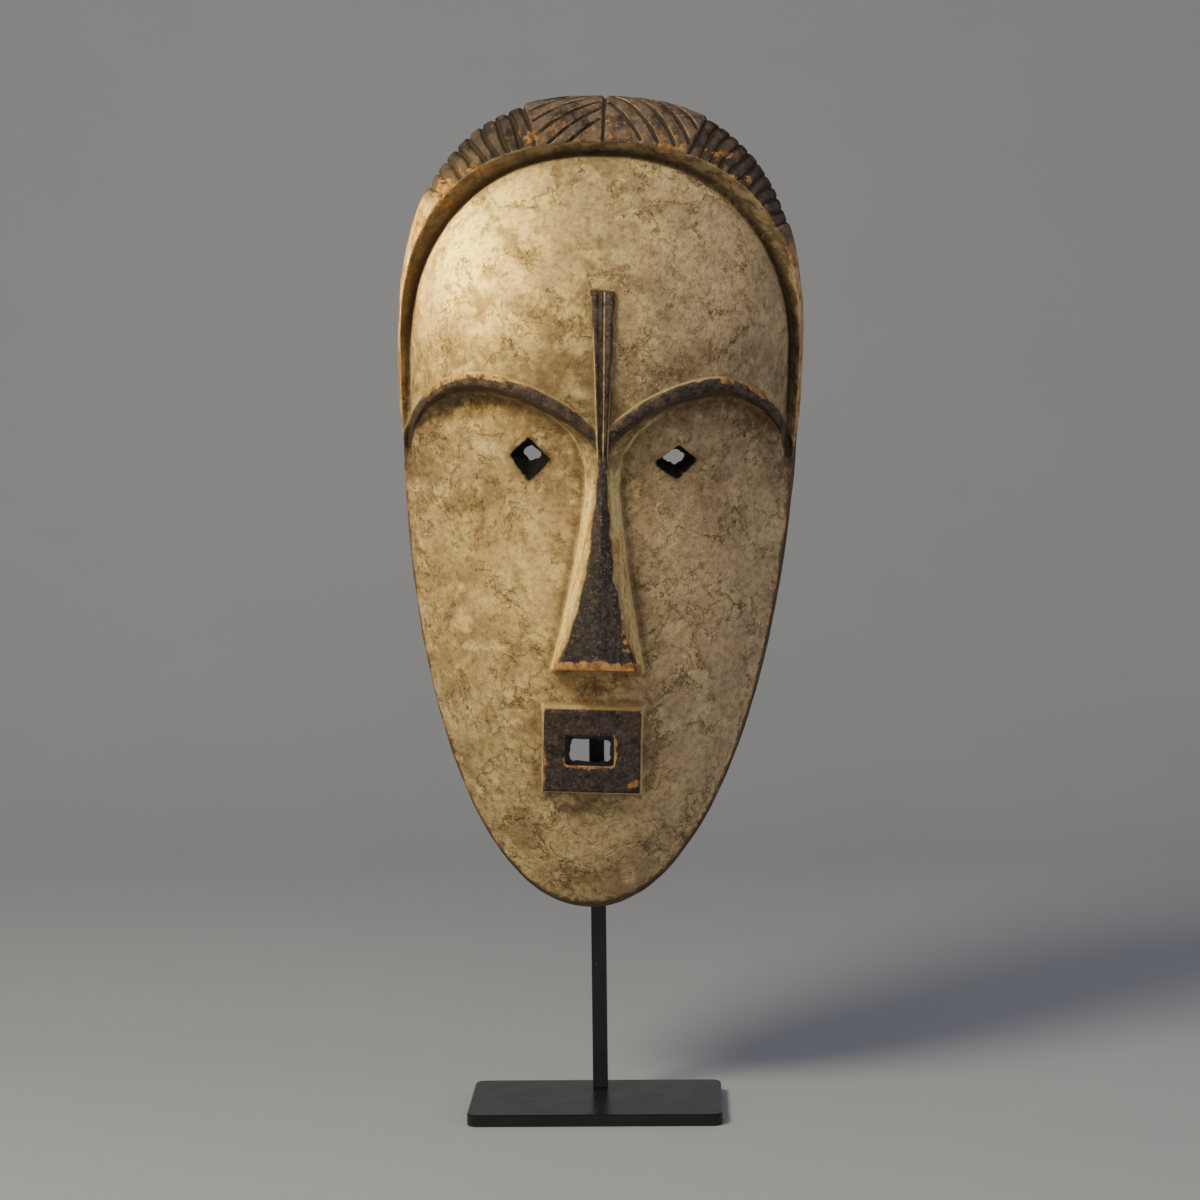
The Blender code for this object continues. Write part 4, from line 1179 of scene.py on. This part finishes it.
def mask_material():
    look = Shader("carved_and_painted_wood")
    ragged = look.swing(4.5, 240.0, 4.0, 0.6)
    worn = worn_wood(look)
    bare = bare_wood(look)
    colour = kaolin(look)
    recess_colour = look.mix(look.cloud((120.0, 5.0, 0.68), 0.4, 0.6), RECESS_DARK_AND_SHADE, RECESS)
    # Painted shade: the band's inner wall is darker on the left, the side turned away from the lamp
    recess_colour = look.tint(recess_colour, "recess_painted_shade_left", 0.5, RECESS_DARK_AND_SHADE)
    colour = look.tint(colour, "recess", 0.9, recess_colour)
    # Painted shadow with some dirt: a near-black line along the deep groove where the forehead meets the band
    colour = look.tint(colour, "recess_painted_shadow_line", 0.85, CUT_BLACK_AND_SHADOW)
    rim = look.smooth(look.plus(look.field("edge"), look.times(ragged, 1.6)), 3.0, 0.8)
    rim = look.times(rim, look.field("low_part"))
    rim_colour = look.mix(look.cloud((75.0, 4.0, 0.6), 0.46, 0.6), RIM, worn)
    colour = look.mix(look.times(rim, 0.8), colour, rim_colour)
    inset = look.plus(look.field("stained"), look.times(ragged, 0.45))
    fringe = look.times(look.smooth(inset, -1.6, -0.3),
                         look.cloud((85.0, 4.0, 0.6), 0.42, 0.6))
    colour = look.mix(look.times(fringe, 0.75), colour, worn)
    stained = look.smooth(inset, -0.5, 0.6)
    colour = look.mix(stained, colour, dark_stain(look))
    hair_share = look.smooth(look.plus(look.field("hair"), look.times(ragged, 0.4)),
                               -0.4, 0.5)
    colour = look.mix(hair_share, colour, hair(look, worn))
    chipping = look.swing(2.0, 170.0, 5.0, 0.68)
    rubbed = look.smooth(look.plus(look.field("worn"), chipping), 0.44, 0.6, 0.92)
    colour = look.mix(rubbed, colour, worn)
    colour = pale_and_highlight_lines(look, colour)
    hollowed = look.smooth(look.field("raised"), -0.05, -0.45, 0.45)
    colour = look.mix(hollowed, colour, GRIME_AND_PAINTED_SHADE)
    back_of_band = look.times(hair_share, look.smooth(look.field("hair_share"), 1.0, 1.5))
    low_side = look.times(look.field("side"), look.field("low_part"))
    side = look.math("MAXIMUM", back_of_band, low_side)
    stain_left = look.cloud((38.0, 5.0, 0.65), 0.36, 0.62, 0.75)
    colour = look.mix(side, colour, look.mix(stain_left, bare, HAIR_DARK))
    colour = look.mix(look.field("behind"), colour, bare)
    # Dark stain plus painted shade: the openings' walls go near-black
    colour = look.mix(look.field("opening"), colour, OPENING_STAIN_AND_SHADE)
    fine = look.plus(look.noise(900.0, 3.0, 0.6), look.times(look.noise(230.0, 4.0, 0.6), 1.6))
    fine = look.plus(fine, look.times(look.noise(90.0, 3.0, 0.6), 1.8))
    look.put(look.surface.inputs["Specular IOR Level"], 0.3)
    roughness = look.math("SUBTRACT", 0.8, look.times(stained, 0.3))
    return look.finish(base_color=colour, roughness=roughness, normal=look.bump(fine, 0.0006))


def steel_material():
    """Blackened steel, rubbed a little lighter in places and dotted with tiny bright spots."""
    look = Shader("blackened_steel")
    cloud = look.noise(45.0, 5.0, 0.65)
    colour = look.mix(look.smooth(cloud, 0.35, 0.65), STEEL, STEEL_BROWN)
    colour = look.mix(look.times(look.specks(260.0, 0.12, 0.1), 0.6), colour, STEEL_BRIGHT)
    rubbed = look.smooth(look.noise(30.0, 5.0, 0.7, 0.6, look.stretched((1.0, 1.0, 0.4))), 0.6, 0.74, 0.14)
    colour = look.mix(rubbed, colour, STEEL_BRIGHT)
    roughness = look.plus(look.smooth(cloud, 0.3, 0.7, 0.1), 0.15)
    look.put(look.surface.inputs["Specular IOR Level"], 0.44)
    return look.finish(base_color=colour, roughness=roughness,
                         normal=look.bump(look.noise(700.0, 3.0, 0.6), 0.0002))


def ground_material():
    look = Shader("studio_ground")
    colour = look.mix(look.noise(6.0, 4.0, 0.6), GROUND, GROUND_OTHER)
    return look.finish(base_color=colour, roughness=0.75)


def place_camera():
    data = bpy.data.cameras.new("camera")
    data.sensor_width = SENSOR_MM
    data.lens = FOCAL_PIXELS / IMAGE_PIXELS * SENSOR_MM
    data.clip_end = 50.0
    camera = bpy.data.objects.new("camera", data)
    bpy.context.scene.collection.objects.link(camera)
    forward = Vector((math.sin(CAMERA_YAW) * math.cos(CAMERA_PITCH),
                      math.cos(CAMERA_YAW) * math.cos(CAMERA_PITCH), math.sin(CAMERA_PITCH)))
    level = Vector((math.cos(CAMERA_YAW), -math.sin(CAMERA_YAW), 0.0))
    upright = level.cross(forward)
    right = level * math.cos(CAMERA_ROLL) + upright * math.sin(CAMERA_ROLL)
    up = upright * math.cos(CAMERA_ROLL) - level * math.sin(CAMERA_ROLL)
    camera.matrix_world = Matrix((
        (right.x, up.x, -forward.x, CAMERA_POSITION[0]),
        (right.y, up.y, -forward.y, CAMERA_POSITION[1]),
        (right.z, up.z, -forward.z, CAMERA_POSITION[2]),
        (0.0, 0.0, 0.0, 1.0),
    ))
    bpy.context.scene.camera = camera


def area_light(name, place, target, size, spread, power, colour):
    data = bpy.data.lights.new(name, "AREA")
    data.shape = "DISK"
    data.size = size
    data.spread = math.radians(spread)
    data.energy = power
    data.color = colour
    light = bpy.data.objects.new(name, data)
    bpy.context.scene.collection.objects.link(light)
    light.location = place
    light.rotation_euler = (Vector(target) - Vector(place)).to_track_quat("-Z", "Y").to_euler()


def studio():
    """A pale floor that curves up into a backdrop, light from the upper left, and a little from all round."""
    run = np.linspace(-9.0, BACKDROP_START, 12)
    turn = np.linspace(0.0, 0.5 * np.pi, 16)[1:]
    y = np.concatenate([run, BACKDROP_START + BACKDROP_BEND * np.sin(turn), [BACKDROP_START + BACKDROP_BEND]])
    z = np.concatenate([np.zeros(12), BACKDROP_BEND * (1.0 - np.cos(turn)), [5.0]])
    points = [(x, y[index], z[index]) for index in range(len(y)) for x in (-9.0, 9.0)]
    faces = [(2 * index, 2 * index + 1, 2 * index + 3, 2 * index + 2) for index in range(len(y) - 1)]
    ground = make_object("ground", points, faces)
    ground.data.shade_smooth()
    ground.data.materials.append(ground_material())
    for light in LIGHTS:
        area_light(*light)
    world = bpy.data.worlds.new("studio")
    bpy.context.scene.world = world
    world.use_nodes = True
    background = world.node_tree.nodes["Background"]
    background.inputs["Color"].default_value = (*AMBIENT, 1.0)
    background.inputs["Strength"].default_value = AMBIENT_STRENGTH


def build():
    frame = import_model()
    mask = build_mask()
    surface_fields(mask)
    lean = Euler((-LEAN_BACK, LEAN_SIDE, 0.0)).to_matrix().to_4x4()
    mask.data.transform(Matrix.Translation(MASK_PLACE) @ lean)
    mask.data.materials.clear()
    mask.data.materials.append(mask_material())
    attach(mask, "root")
    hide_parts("mask")
    steel = steel_material()
    for name in ("upright_rod", "base_plate"):
        for slot in frame["nodes"][name].material_slots:
            slot.material = steel
    place_camera()
    studio()


build()
